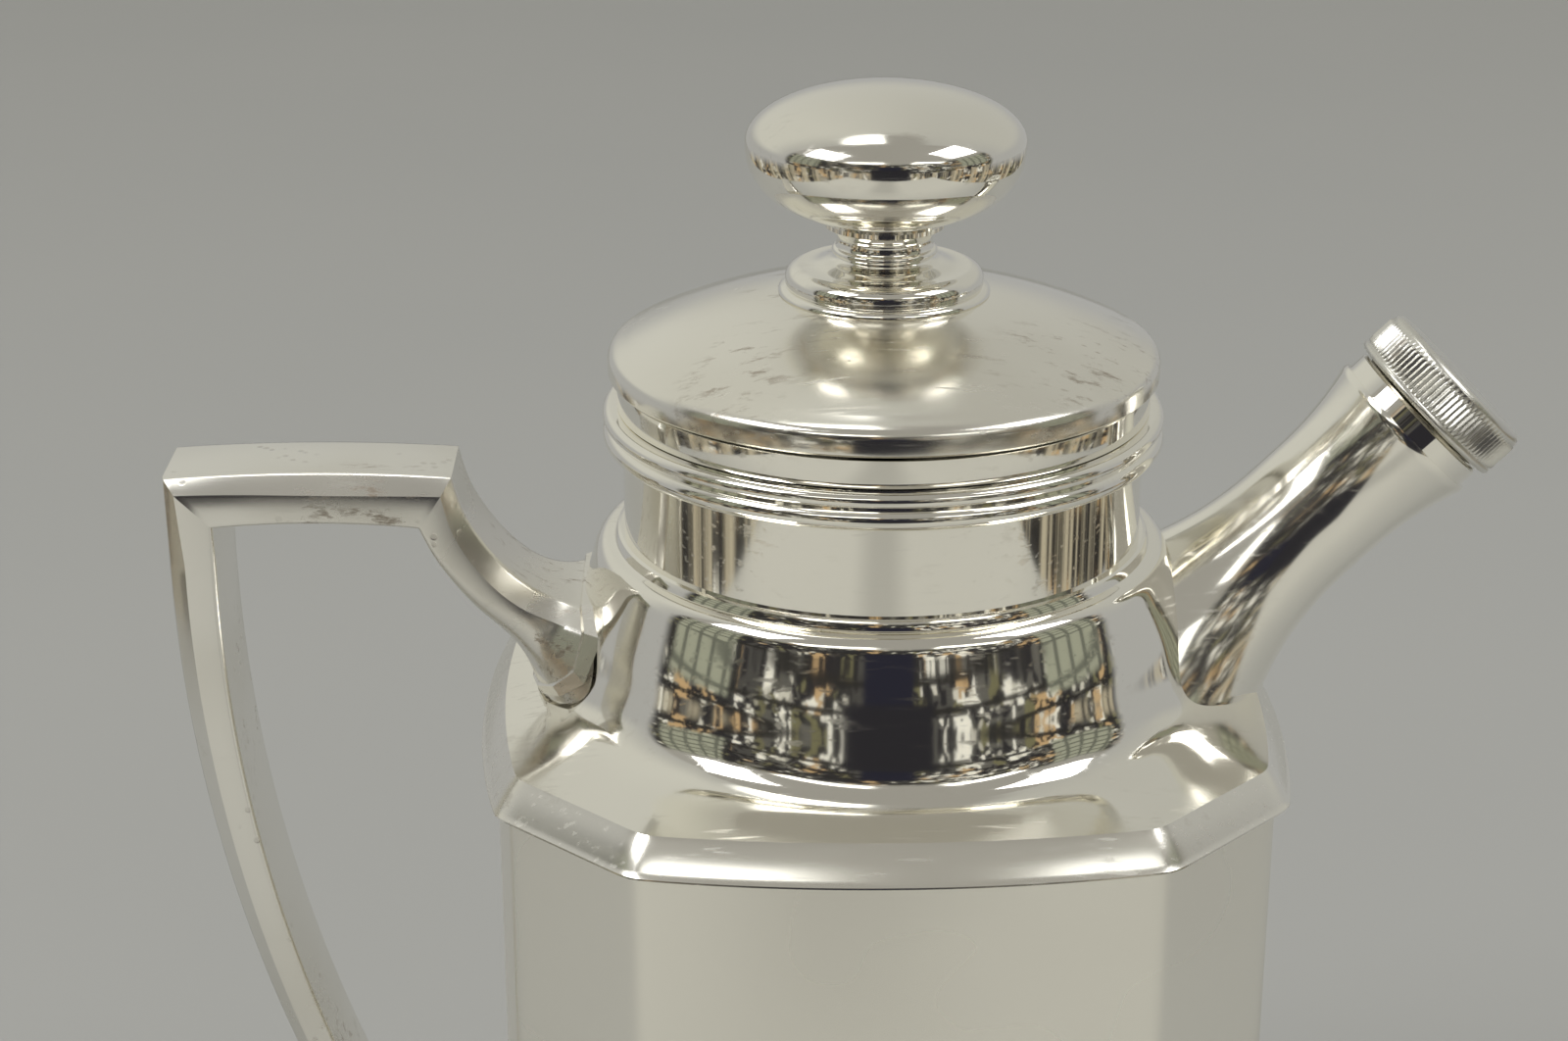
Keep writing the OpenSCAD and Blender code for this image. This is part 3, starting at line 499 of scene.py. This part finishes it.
bowl = [(bowl_at(drop * u, KNOB_R, half_axis), KNOB_MID - drop * u)
        for u in 1 - np.linspace(1, 0, 56) ** 1.4]
bowl_in = [(bowl_at(drop * u, KNOB_R, half_axis) - SHEET, KNOB_MID - drop * u + 0.3 * MM * u)
           for u in np.linspace(0.85, 0, 24)]
bowl_foot = [(STEP_R + 0.1 * MM, NECK_TOP + 0.5 * MM), (STEP_R, NECK_TOP), (HOLE_R, NECK_TOP),
             (HOLE_R, NECK_TOP + 1.9 * MM)]
bowl_profile = bowl + bowl_foot + bowl_in
dress(turned("knob_lower", bowl_profile, 192, sharp=50), bright, "lid", "knob_bowl")

rise = KNOB_TOP - KNOB_MID
AXIS_R = 1e-5
crown = [(max(KNOB_R * math.cos(a), AXIS_R), KNOB_MID + rise * math.sin(a))
         for a in np.linspace(0, math.pi / 2, 48)]
crown_in = [(max((KNOB_R - SHEET) * math.cos(a), AXIS_R), KNOB_MID + (rise - SHEET) * math.sin(a))
            for a in np.linspace(math.pi / 2, 0, 24)]
dress(turned("knob_upper", (crown + crown_in)[::-1], 192, sharp=50), crowned, "lid", "knob_crown")


# The spout: a straight tube, drawn in at its waist and flared where it is soldered to the
# shoulder, with a nozzle in its mouth for the cap's thread.
SPOUT_TILT = math.radians(45)
MOUTH = Vector((85.2 * MM, 0, NECK_Z + 15.5 * MM))
spout_frame = Matrix.Translation(MOUTH) @ Matrix.Rotation(math.pi / 2 - SPOUT_TILT, 4, "Y")
SPOUT_WAIST_R = 11.4 * MM
SPOUT_MOUTH_R = 14.0 * MM
dome_line = curve_through(down_to(BRIM_HALF - LIP_W) + [(BRIM_HALF, -CREASE_DROP - 3.4 * MM)], 120)


def dome_r_at(z):
    """Radius of the shoulder's skin at a height above the neck's foot."""
    rs, zs = zip(*dome_line[::-1])
    return float(np.interp(z, zs, rs))


def spout_r(s):
    """Outer radius of the spout at s below its mouth."""
    return (SPOUT_WAIST_R + (SPOUT_MOUTH_R - SPOUT_WAIST_R) * max(0, 1 - s / (17 * MM)) ** 2
            + 9 * MM * max(0, (s - 22 * MM) / (32 * MM)) ** 2.2)


SPOUT_LEN = 56 * MM
AROUND = 128
STEPS = 64


def on_spout(r, a, s):
    """The point at radius r, angle a and height s along the spout, counted from its mouth."""
    return spout_frame @ Vector((r * math.cos(a), r * math.sin(a), s))


rings = []
for k in range(AROUND):
    a = 2 * math.pi * k / AROUND
    outer, inner_side = [], []
    # Each line of the tube runs down until it is just inside the shoulder's skin
    reach = SPOUT_LEN
    s = 20 * MM
    while s < SPOUT_LEN:
        p = on_spout(spout_r(s), a, -s)
        if math.hypot(p.x, p.y) < dome_r_at(p.z - NECK_Z) - 0.3 * MM:
            reach = s
            break
        s += 0.1 * MM
    for i in range(STEPS + 1):
        s = reach * i / STEPS
        lip = 0.35 * MM if i == 0 else 0
        outer.append(on_spout(spout_r(s) - lip, a, -s))
        inner_side.append(on_spout(spout_r(s) - SHEET, a, -s))
    rings.append(outer + inner_side[::-1])
dress(from_rings("spout_skin", rings), spouted, "pot", "spout_tube")

NOZZLE_R = 12.2 * MM
COLLAR_H = 3.4 * MM
THREAD_H = 6.4 * MM
PITCH = 2.2 * MM
bore = NOZZLE_R - 2 * MM
THREAD_STEPS = 60
plug_r = spout_r(2 * MM) - 1.7 * MM
nozzle_wall = [(bore, -2 * MM), (plug_r, -2 * MM), (plug_r, 0), (NOZZLE_R + 0.8 * MM, 0),
               (NOZZLE_R + 0.8 * MM, COLLAR_H - 0.5 * MM), (NOZZLE_R + 0.3 * MM, COLLAR_H),
               (NOZZLE_R - 0.7 * MM, COLLAR_H)]
NOZZLE_AROUND = 96
rows = []
for k in range(NOZZLE_AROUND):
    a = -2 * math.pi * k / NOZZLE_AROUND
    section = list(nozzle_wall)
    for i in range(1, THREAD_STEPS + 1):
        s = THREAD_H * i / THREAD_STEPS
        wave = 0.5 - 0.5 * math.cos(2 * math.pi * (s / PITCH + k / NOZZLE_AROUND))
        fade = min(1, s / (0.8 * MM), (THREAD_H - s) / (0.8 * MM))
        section.append((NOZZLE_R - 0.7 * MM + 0.65 * MM * wave * fade, COLLAR_H + s))
    section.append((bore, COLLAR_H + THREAD_H))
    rows.append([on_spout(r, a, z) for r, z in section[::-1]])
dress(from_rings("nozzle", rows, sharp=40), bright, "pot", "spout_nozzle")


# The screw cap: a ring cut with fine straight knurling between two plain edges, closed by a
# flat disc. Inside it a liner carries the thread and a cork disc seals the nozzle.
CAP_R = 14.4 * MM
CAP_FOOT = COLLAR_H + 0.5 * MM
CAP_H = 8.1 * MM
DISC_T = 1.0 * MM
LINER_R = NOZZLE_R + 0.9 * MM
RIDGES = 96
PER_RIDGE = 6
KNURL_DEPTH = 0.36 * MM
knurl_low, knurl_high = 1.5 * MM, CAP_H - DISC_T - 0.9 * MM
rows = []
for k in range(RIDGES * PER_RIDGE):
    a = -2 * math.pi * k / (RIDGES * PER_RIDGE)
    cut = KNURL_DEPTH * (0.5 + 0.5 * math.cos(2 * math.pi * k / PER_RIDGE))
    section = [(LINER_R, 0), (CAP_R - 0.5 * MM, 0), (CAP_R - 0.1 * MM, 0.25 * MM),
               (CAP_R - 0.02 * MM, 0.6 * MM), (CAP_R - 0.1 * MM, 1.0 * MM), (CAP_R - 0.35 * MM, 1.15 * MM),
               (CAP_R - 0.35 * MM, 1.3 * MM), (CAP_R - 0.12 * MM - cut, knurl_low),
               (CAP_R - 0.05 * MM - cut, knurl_low + 0.25 * MM)]
    for u in (0.3, 0.6, 0.9):
        section.append((CAP_R - 0.05 * MM - cut, knurl_low + (knurl_high - knurl_low) * u))
    section += [(CAP_R - 0.12 * MM - cut, knurl_high), (CAP_R - 0.30 * MM, knurl_high + 0.2 * MM),
                (CAP_R - 0.40 * MM, CAP_H - DISC_T), (LINER_R, CAP_H - DISC_T)]
    rows.append([on_spout(r, a, CAP_FOOT + z) for r, z in section[::-1]])
cap_silver = silver("silver_cap", 0.27, haze=0.10, stain=0.6, pitted=0.02, tint=(0.75, 0.74, 0.69, 1))
dress(from_rings("cap_knurl", rows, sharp=60), cap_silver, "cap", "cap_ring")

disc = [(AXIS_R, 0), (CAP_R - 0.4 * MM, 0), (CAP_R - 0.55 * MM, 0.35 * MM), (CAP_R - 1.1 * MM, 0.8 * MM),
        (CAP_R - 1.7 * MM, 0.98 * MM), (CAP_R - 3 * MM, 0.92 * MM), (AXIS_R, 0.86 * MM)]
disc_profile = [(r, z + CAP_FOOT + CAP_H - DISC_T) for r, z in disc[::-1]]
dress(turned("cap_top", disc_profile, 128, spout_frame, sharp=50), cap_silver, "cap", "cap_disc")


# The handle: hollow, raised from sheet, with bevelled outer edges. A level bar and a long curved
# grip meet in a mitre. A sweep carries the bar down to the shoulder and a foot carries the grip
# in to the wall, each with a thin seam ring.
REACH = 115.2 * MM
BAR_TOP = 11.2 * MM
BAR_W = 10.5 * MM
BAR_T = 8 * MM
BEVEL = 3 * MM
ARC_R = 270 * MM
GRIP_TOP = -3 * MM
GRIP_DROP = 128 * MM
TAPER = 0.78
BEND = Vector((-NECK_R - 27.2 * MM, 0, BAR_TOP - 0.2 * MM))


def v2(x, z):
    return Vector((x * MM, 0, z * MM))


def bar_section(o, i, half, bevel, soft):
    """Points of the bar's section, from the point o on its outer line to i on its inner one. half
    is half its width, bevel the size of its outer bevels and soft the radius of its inner edges."""
    depth = i - o
    n = depth.normalized()
    lo, hi, w = 0.0, depth.length, half
    r = max(0.3 * MM, soft)
    e = 0.7 * MM
    side = [(lo, 0.0), (lo, w - bevel - e), (lo + 0.12 * e, w - bevel), (lo + 0.6 * e, w - bevel + 0.7 * e)]
    side += [(lo + bevel - 0.6 * e, w - 0.7 * e), (lo + bevel, w - 0.12 * e), (lo + bevel + e, w)]
    side += [(hi - r * (1 - math.sin(t)), w - r * (1 - math.cos(t))) for t in np.linspace(0, math.pi / 2, 8)]
    side += [(hi, 0.0)]
    points = side + [(d, -y) for d, y in side[-2:0:-1]]
    return [Vector((o.x + n.x * d, y, NECK_Z + o.z + n.z * d)) for d, y in points]


def bar_rings(stations, count):
    """Sections along a smooth path through stations of (outer, inner, half, bevel, soft)."""
    flat = [(o.x, o.z, i.x, i.z, half, bevel, soft) for o, i, half, bevel, soft in stations]
    rows = curve_through(flat, count)
    return [bar_section(Vector((r[0], 0, r[1])), Vector((r[2], 0, r[3])), r[4], r[5], r[6]) for r in rows]


SOFT = 0.8 * MM
corner_out = Vector((-REACH, 0, BAR_TOP))
corner_in = corner_out + v2(7.9, -7.8)
bend_in = BEND + v2(-5.4, -8)
bar = []
for u in np.linspace(0, 1, 17):
    lift = Vector((0, 0, 0.8 * MM * 4 * u * (1 - u)))
    bar.append((corner_out.lerp(BEND, u) + lift, corner_in.lerp(bend_in, u) + lift, BAR_W, BEVEL, SOFT))
level = from_rings("handle_bar", bar_rings(bar, 32), False)
dress(level, handled, "pot", "handle_top_bar", slot="silver_satin")

arc_x = ARC_R - REACH + 0.1 * MM


def grip_at(z):
    """Station of the grip at height z."""
    o = Vector((arc_x - math.sqrt(ARC_R ** 2 - (z - GRIP_TOP) ** 2), 0, z))
    k = 1 + (TAPER - 1) * (GRIP_TOP - z) / (GRIP_DROP + GRIP_TOP)
    toward = (Vector((arc_x, 0, GRIP_TOP)) - o).normalized()
    return (o, o + toward * BAR_T * k, BAR_W * k, BEVEL * k, SOFT)


grip = [grip_at(z) for z in np.linspace(GRIP_TOP, -GRIP_DROP, 20)]
top = [bar_section(corner_out, corner_in, BAR_W, BEVEL, SOFT)]
curved = from_rings("handle_curve", top + bar_rings(grip, 72), False)
dress(curved, handled, "pot", "handle_grip", slot="silver_satin")

sweep = [(BEND, bend_in, BAR_W, BEVEL, SOFT),
         (BEND + v2(1.6, -5.8), BEND + v2(-3.4, -12.6), BAR_W, BEVEL, 1.2 * MM),
         (BEND + v2(4.8, -11.6), BEND + v2(-0.4, -17.6), BAR_W, BEVEL, 2 * MM),
         (BEND + v2(9, -16.6), BEND + v2(3.6, -22.8), BAR_W, BEVEL, 3 * MM),
         (BEND + v2(13.6, -19.9), BEND + v2(7.8, -27.2), BAR_W + 0.4 * MM, BEVEL, 4.5 * MM),
         (BEND + v2(17.6, -21.2), BEND + v2(10.8, -31.6), BAR_W + 1.5 * MM, BEVEL, 6.5 * MM),
         (BEND + v2(20.6, -21.6), BEND + v2(12.6, -36.2), BAR_W + 3.8 * MM, BEVEL, 9 * MM),
         (BEND + v2(27.4, -20.6), BEND + v2(17.2, -43.4), BAR_W + 9 * MM, BEVEL + MM, 12 * MM)]


def stop_at_skin(rows, clear_of):
    """Moves what has sunk into the pot's skin back along each line, to the place where it meets."""
    ends = []
    for j in range(len(rows[0])):
        line = [r[j] for r in rows]
        hit = next((i for i, p in enumerate(line) if clear_of(p) < -0.3 * MM), len(line) - 1)
        ends.append(hit)
    out = []
    for i in range(len(rows)):
        out.append([rows[i][j] if i < ends[j] else rows[ends[j]][j] for j in range(len(rows[0]))])
    return out


def outside_dome(p):
    return math.hypot(p.x, p.y) - dome_r_at(p.z - NECK_Z)


root = from_rings("handle_sweep", stop_at_skin(bar_rings(sweep, 72), outside_dome), False, sharp=28)
dress(root, handled, "pot", "handle_upper_root", slot="silver_satin")
for name in ("handle_upper_seam", "handle_lower_root", "handle_lower_seam"):
    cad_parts[name].data.materials.clear()
    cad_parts[name].data.materials.append(handled)
    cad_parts[name].data.shade_smooth()
    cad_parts[name].data.set_sharp_from_angle(angle=math.radians(25))


# What is left in view of the CAD's own solids: the inside of the lid and spout, the stud with
# its washer and nut, the cap's liner and the cork.
for name in ("lid_sleeve", "knob_stud", "knob_washer", "knob_nut", "spout_strainer", "cap_liner"):
    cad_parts[name].data.materials.clear()
    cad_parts[name].data.materials.append(inner)

cork = bpy.data.materials.new("cork")
cork.use_nodes = True
tree = cork.node_tree
shader = tree.nodes["Principled BSDF"]
shader.inputs["Roughness"].default_value = 0.85
place = node(tree, "ShaderNodeTexCoord").outputs["Object"]
grain = node(tree, "ShaderNodeTexVoronoi", {"Scale": 900.0})
tree.links.new(place, grain.inputs["Vector"])
DARK_CORK = (0.20, 0.11, 0.05, 1)
PALE_CORK = (0.50, 0.33, 0.18, 1)
ramp = node(tree, "ShaderNodeMix", {"A": DARK_CORK, "B": PALE_CORK}, data_type="RGBA")
tree.links.new(band(tree, grain.outputs["Distance"], 0.1, 0.5), ramp.inputs["Factor"])
tree.links.new(ramp.outputs["Result"], shader.inputs["Base Color"])
bump = node(tree, "ShaderNodeBump", {"Strength": 0.6, "Distance": 0.2 * MM})
tree.links.new(grain.outputs["Distance"], bump.inputs["Height"])
tree.links.new(bump.outputs["Normal"], shader.inputs["Normal"])
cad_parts["cap_cork"].data.materials.clear()
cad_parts["cap_cork"].data.materials.append(cork)


# The camera stands in front of the pot and looks down on its shoulder, from so near that the foot
# and the lower half of the body are out of its view.
camera = bpy.data.objects.new("camera", bpy.data.cameras.new("camera"))
bpy.context.scene.collection.objects.link(camera)
camera.data.lens = 67.5
camera.data.sensor_width = 36.0
LOOKS_ALONG = Vector((0.0257, 0.9353, -0.3530)).normalized()
ROUGHLY_UP = Vector((0.0097, 0.3529, 0.9356))
across = LOOKS_ALONG.cross(ROUGHLY_UP).normalized()
upward = across.cross(LOOKS_ALONG)
camera.matrix_world = Matrix((across, upward, -LOOKS_ALONG)).transposed().to_4x4()
camera.location = (-28.3 * MM, -450.3 * MM, NECK_Z + 170.0 * MM)
camera.data.clip_start = 0.02
bpy.context.scene.camera = camera


# The studio: a wide pale floor and a soft grey surround. In front and overhead it is open to a
# dimmer room with two rows of ceiling lamps, which the silver mirrors.
floor_mesh = bpy.data.meshes.new("floor")
HALF_FLOOR = 4.0
floor_mesh.from_pydata([(-HALF_FLOOR, -HALF_FLOOR, 0), (HALF_FLOOR, -HALF_FLOOR, 0),
                        (HALF_FLOOR, HALF_FLOOR, 0), (-HALF_FLOOR, HALF_FLOOR, 0)], [], [(0, 1, 2, 3)])
floor = bpy.data.objects.new("floor", floor_mesh)
bpy.context.scene.collection.objects.link(floor)
paper = bpy.data.materials.new("paper")
paper.use_nodes = True
tree = paper.node_tree
shader = tree.nodes["Principled BSDF"]
shader.inputs["Roughness"].default_value = 0.9
place = node(tree, "ShaderNodeTexCoord").outputs["Object"]
GREY_PAPER = (0.455, 0.46, 0.455, 1)
GREY_PAPER_LIGHT = (0.485, 0.485, 0.475, 1)
PAINTED_LIGHT_PAPER = (0.66, 0.655, 0.62, 1)
SHADED_PAPER = (0.50, 0.495, 0.47, 1)
tone = node(tree, "ShaderNodeMix", {"A": GREY_PAPER, "B": GREY_PAPER_LIGHT}, data_type="RGBA")
tree.links.new(noise(tree, place, 3.0, 3.0), tone.inputs["Factor"])
# Painted light: towards the front the paper is painted lighter, a pool of light for the silver's body and
# neck to mirror
near = node(tree, "ShaderNodeMix", {"B": PAINTED_LIGHT_PAPER}, data_type="RGBA")
tree.links.new(tone.outputs["Result"], near.inputs["A"])
shade = node(tree, "ShaderNodeMix", {"B": SHADED_PAPER}, data_type="RGBA")
tree.links.new(near.outputs["Result"], shade.inputs["A"])
tree.links.new(shade.outputs["Result"], shader.inputs["Base Color"])
# The paper is a metre wide, so what shines past its edges mirrors the room
PAPER_HALF = 0.485
PAPER_FRONT = -0.70
spot = node(tree, "ShaderNodeSeparateXYZ")
tree.links.new(place, spot.inputs[0])
# The painted light fades in from behind the pot towards the front
tree.links.new(band(tree, spot.outputs["Y"], 0.05, -0.35), near.inputs["Factor"])
# A strip of it in front lies in shade, which only the silver shows
glossy = node(tree, "ShaderNodeLightPath").outputs["Is Glossy Ray"]
strip = math_node(tree, "ABSOLUTE", math_node(tree, "ADD", spot.outputs["X"], 0.03))
shaded = math_node(tree, "MULTIPLY", band(tree, strip, 0.13, 0.02),
                   band(tree, spot.outputs["Y"], -0.18, -0.4))
tree.links.new(math_node(tree, "MULTIPLY", shaded, glossy), shade.inputs["Factor"])
past = math_node(tree, "MAXIMUM",
                 band(tree, math_node(tree, "ABSOLUTE", spot.outputs["X"]), PAPER_HALF, PAPER_HALF + 0.012),
                 band(tree, spot.outputs["Y"], PAPER_FRONT, PAPER_FRONT - 0.02))
clear = node(tree, "ShaderNodeBsdfTransparent")
choose = node(tree, "ShaderNodeMixShader")
tree.links.new(math_node(tree, "MULTIPLY", glossy, past), choose.inputs["Fac"])
tree.links.new(shader.outputs[0], choose.inputs[1])
tree.links.new(clear.outputs[0], choose.inputs[2])
tree.links.new(choose.outputs[0], tree.nodes["Material Output"].inputs["Surface"])
floor_mesh.materials.append(paper)

world = bpy.data.worlds.new("studio")
bpy.context.scene.world = world
world.use_nodes = True
tree = world.node_tree
tree.nodes.clear()
out = node(tree, "ShaderNodeOutputWorld")
way = node(tree, "ShaderNodeTexCoord").outputs["Generated"]
parts = node(tree, "ShaderNodeSeparateXYZ")
tree.links.new(way, parts.inputs[0])
height = parts.outputs["Z"]
front = math_node(tree, "MULTIPLY", parts.outputs["Y"], -1.0)
turn = math_node(tree, "ARCTAN2", parts.outputs["X"], front)
aside = math_node(tree, "ABSOLUTE", turn)
tilt = math_node(tree, "ARCSINE", height)


def over_colour(below, colour, mask):
    """Lays a colour, or a colour socket, over another by a mask."""
    n = node(tree, "ShaderNodeMix", data_type="RGBA")
    for key, value in (("A", below), ("B", colour), ("Factor", mask)):
        if hasattr(value, "is_linked"):
            tree.links.new(value, n.inputs[key])
        else:
            n.inputs[key].default_value = value
    return n.outputs["Result"]


def both(*masks):
    """Where all the masks hold."""
    total = masks[0]
    for mask in masks[1:]:
        total = math_node(tree, "MULTIPLY", total, mask)
    return total


# The room: dark, its walls full of shelves with boxes in grey, olive, tan and white, fine lines
# across them, windows with panes to the left and right, and a dark doorway between
at = node(tree, "ShaderNodeCombineXYZ")
tree.links.new(turn, at.inputs["X"])
tree.links.new(math_node(tree, "MULTIPLY", tilt, 0.75), at.inputs["Y"])


def boxes(scale, loose):
    """Random boxes: three random values for each."""
    cells = node(tree, "ShaderNodeTexVoronoi", {"Scale": scale, "Randomness": loose}, distance="CHEBYCHEV")
    tree.links.new(at.outputs[0], cells.inputs["Vector"])
    values = node(tree, "ShaderNodeSeparateColor")
    tree.links.new(cells.outputs["Color"], values.inputs["Color"])
    return values.outputs


def stripes(value, count, low, high):
    """Thin lines across a value, so many to a radian."""
    wave = math_node(tree, "SINE", math_node(tree, "MULTIPLY", value, 2 * math.pi * count))
    return band(tree, wave, low, high)


DARK_SHELF = (0.035, 0.034, 0.034, 1)
GREY_BOX = (0.14, 0.135, 0.12, 1)
OLIVE_BOX = (0.17, 0.16, 0.09, 1)
TAN_BOX = (0.52, 0.36, 0.19, 1)
WHITE_BOX = (0.85, 0.83, 0.74, 1)
GAP = (0.030, 0.028, 0.030, 1)
SMALL_THING = (0.60, 0.58, 0.50, 1)
SHELF_EDGE = (0.030, 0.028, 0.026, 1)
PANE = (0.34, 0.35, 0.27, 1)
WINDOW_BAR = (0.13, 0.135, 0.11, 1)
TABLE_THING = (0.46, 0.41, 0.30, 1)
DOORWAY = (0.022, 0.022, 0.034, 1)
DOOR_FOOT = (0.025, 0.024, 0.028, 1)
big, middle, fine = boxes(5.5, 0.8), boxes(13.0, 0.9), boxes(34.0, 1.0)
room = over_colour(DARK_SHELF, GREY_BOX, band(tree, big["Green"], 0.3, 1.0))
room = over_colour(room, OLIVE_BOX, band(tree, middle["Red"], 0.76, 0.80))
tans = both(band(tree, big["Red"], 0.68, 0.70), band(tree, middle["Green"], 0.70, 0.50))
room = over_colour(room, TAN_BOX, tans)
whites = both(band(tree, big["Blue"], 0.66, 0.70), band(tree, middle["Blue"], 0.58, 0.62))
room = over_colour(room, WHITE_BOX, whites)
room = over_colour(room, GAP, band(tree, fine["Red"], 0.60, 0.64))
room = over_colour(room, SMALL_THING, band(tree, fine["Blue"], 0.92, 0.95))
room = over_colour(room, SHELF_EDGE, stripes(tilt, 7.5, 0.72, 0.9))
panes = both(band(tree, aside, 1.02, 1.06), band(tree, aside, 1.52, 1.48), band(tree, tilt, -0.05, 0.0))
bars = math_node(tree, "MAXIMUM", stripes(turn, 9.0, 0.6, 0.8), stripes(tilt, 11.0, 0.6, 0.8))
room = over_colour(room, over_colour(PANE, WINDOW_BAR, bars), panes)
low = node(tree, "ShaderNodeCombineXYZ")
tree.links.new(turn, low.inputs["X"])
tables = both(band(tree, noise(tree, low.outputs[0], 9.0, 4.0, 0.7), 0.46, 0.58),
              band(tree, tilt, -0.12, -0.2))
room = over_colour(room, TABLE_THING, tables)
room = over_colour(room, DOORWAY, both(band(tree, aside, 0.18, 0.14), band(tree, tilt, 0.34, 0.28)))
room = over_colour(room, DOOR_FOOT, both(band(tree, aside, 0.30, 0.25), band(tree, tilt, 0.10, 0.06)))

# The ceiling, on a flat plane overhead, with its lamps in rows to the left and right. A row has its
# back and front edge, its inner and outer end, in ceiling heights, and its brightness.
CEILING = (0.34, 0.33, 0.30, 1)
LAMP_ROWS = [(1.30, 1.62, 0.36, 1.25, 2.4), (-0.30, -0.06, 0.24, 0.85, 3.4)]
GAP_AT = 0.2
over = math_node(tree, "MAXIMUM", height, 0.05)
ceiling_x = math_node(tree, "DIVIDE", parts.outputs["X"], over)
ceiling_x = math_node(tree, "ABSOLUTE", math_node(tree, "ADD", ceiling_x, -GAP_AT))
ceiling_y = math_node(tree, "DIVIDE", front, over)
sky = over_colour(room, CEILING, band(tree, tilt, 0.42, 0.56))
for low_y, high_y, inner_x, outer_x, power in LAMP_ROWS:
    row = both(band(tree, ceiling_y, low_y - 0.05, low_y), band(tree, ceiling_y, high_y + 0.05, high_y),
               band(tree, ceiling_x, inner_x - 0.06, inner_x),
               band(tree, ceiling_x, outer_x + 0.10, outer_x))
    sky = over_colour(sky, (power, power, 0.96 * power, 1), row)

# The soft grey surround stands at the sides and behind, up to 72 degrees, lightest high on the left
SIDE_LOW = (0.41, 0.41, 0.40, 1)
SIDE_HIGH = (0.44, 0.435, 0.405, 1)
BACK_RIGHT = (0.48, 0.475, 0.435, 1)
BACK_LEFT = (0.60, 0.595, 0.54, 1)
side_light = over_colour(SIDE_LOW, SIDE_HIGH, band(tree, tilt, 0.0, 1.1))
back_light = over_colour(BACK_RIGHT, BACK_LEFT, band(tree, parts.outputs["X"], 0.35, -0.35))
behind = both(band(tree, front, 0.05, -0.45), band(tree, tilt, 0.02, 0.30))
paper_light = over_colour(side_light, back_light, behind)
walls = both(band(tree, aside, math.radians(88), math.radians(93)),
             band(tree, tilt, math.radians(76), math.radians(68)), band(tree, tilt, -0.30, -0.22))
sky = over_colour(sky, paper_light, walls)
surround_light = node(tree, "ShaderNodeBackground")
tree.links.new(sky, surround_light.inputs["Color"])
plain = node(tree, "ShaderNodeBackground", {"Color": (0.35, 0.352, 0.345, 1)})
pick_plain = node(tree, "ShaderNodeMixShader")
tree.links.new(node(tree, "ShaderNodeLightPath").outputs["Is Camera Ray"], pick_plain.inputs["Fac"])
tree.links.new(surround_light.outputs[0], pick_plain.inputs[1])
tree.links.new(plain.outputs[0], pick_plain.inputs[2])
tree.links.new(pick_plain.outputs[0], out.inputs["Surface"])

# Two soft lamps on stands, turned to the pot's neck
LAMP_SIZE = 0.8
for name, stand, watts in (("lamp_left", (-1.2, -0.6, 1.5), 9.0), ("lamp_right", (1.2, -0.4, 1.6), 8.0)):
    data = bpy.data.lights.new(name, "AREA")
    data.size = LAMP_SIZE
    data.energy = watts
    lamp_object = bpy.data.objects.new(name, data)
    bpy.context.scene.collection.objects.link(lamp_object)
    lamp_object.location = stand
    lamp_object.rotation_mode = "QUATERNION"
    lamp_object.rotation_quaternion = (Vector((0, 0, NECK_Z)) - Vector(stand)).to_track_quat("-Z", "Y")

bpy.context.scene.view_settings.view_transform = "Standard"

# Brings every placement in the scene up to date
bpy.context.view_layer.update()
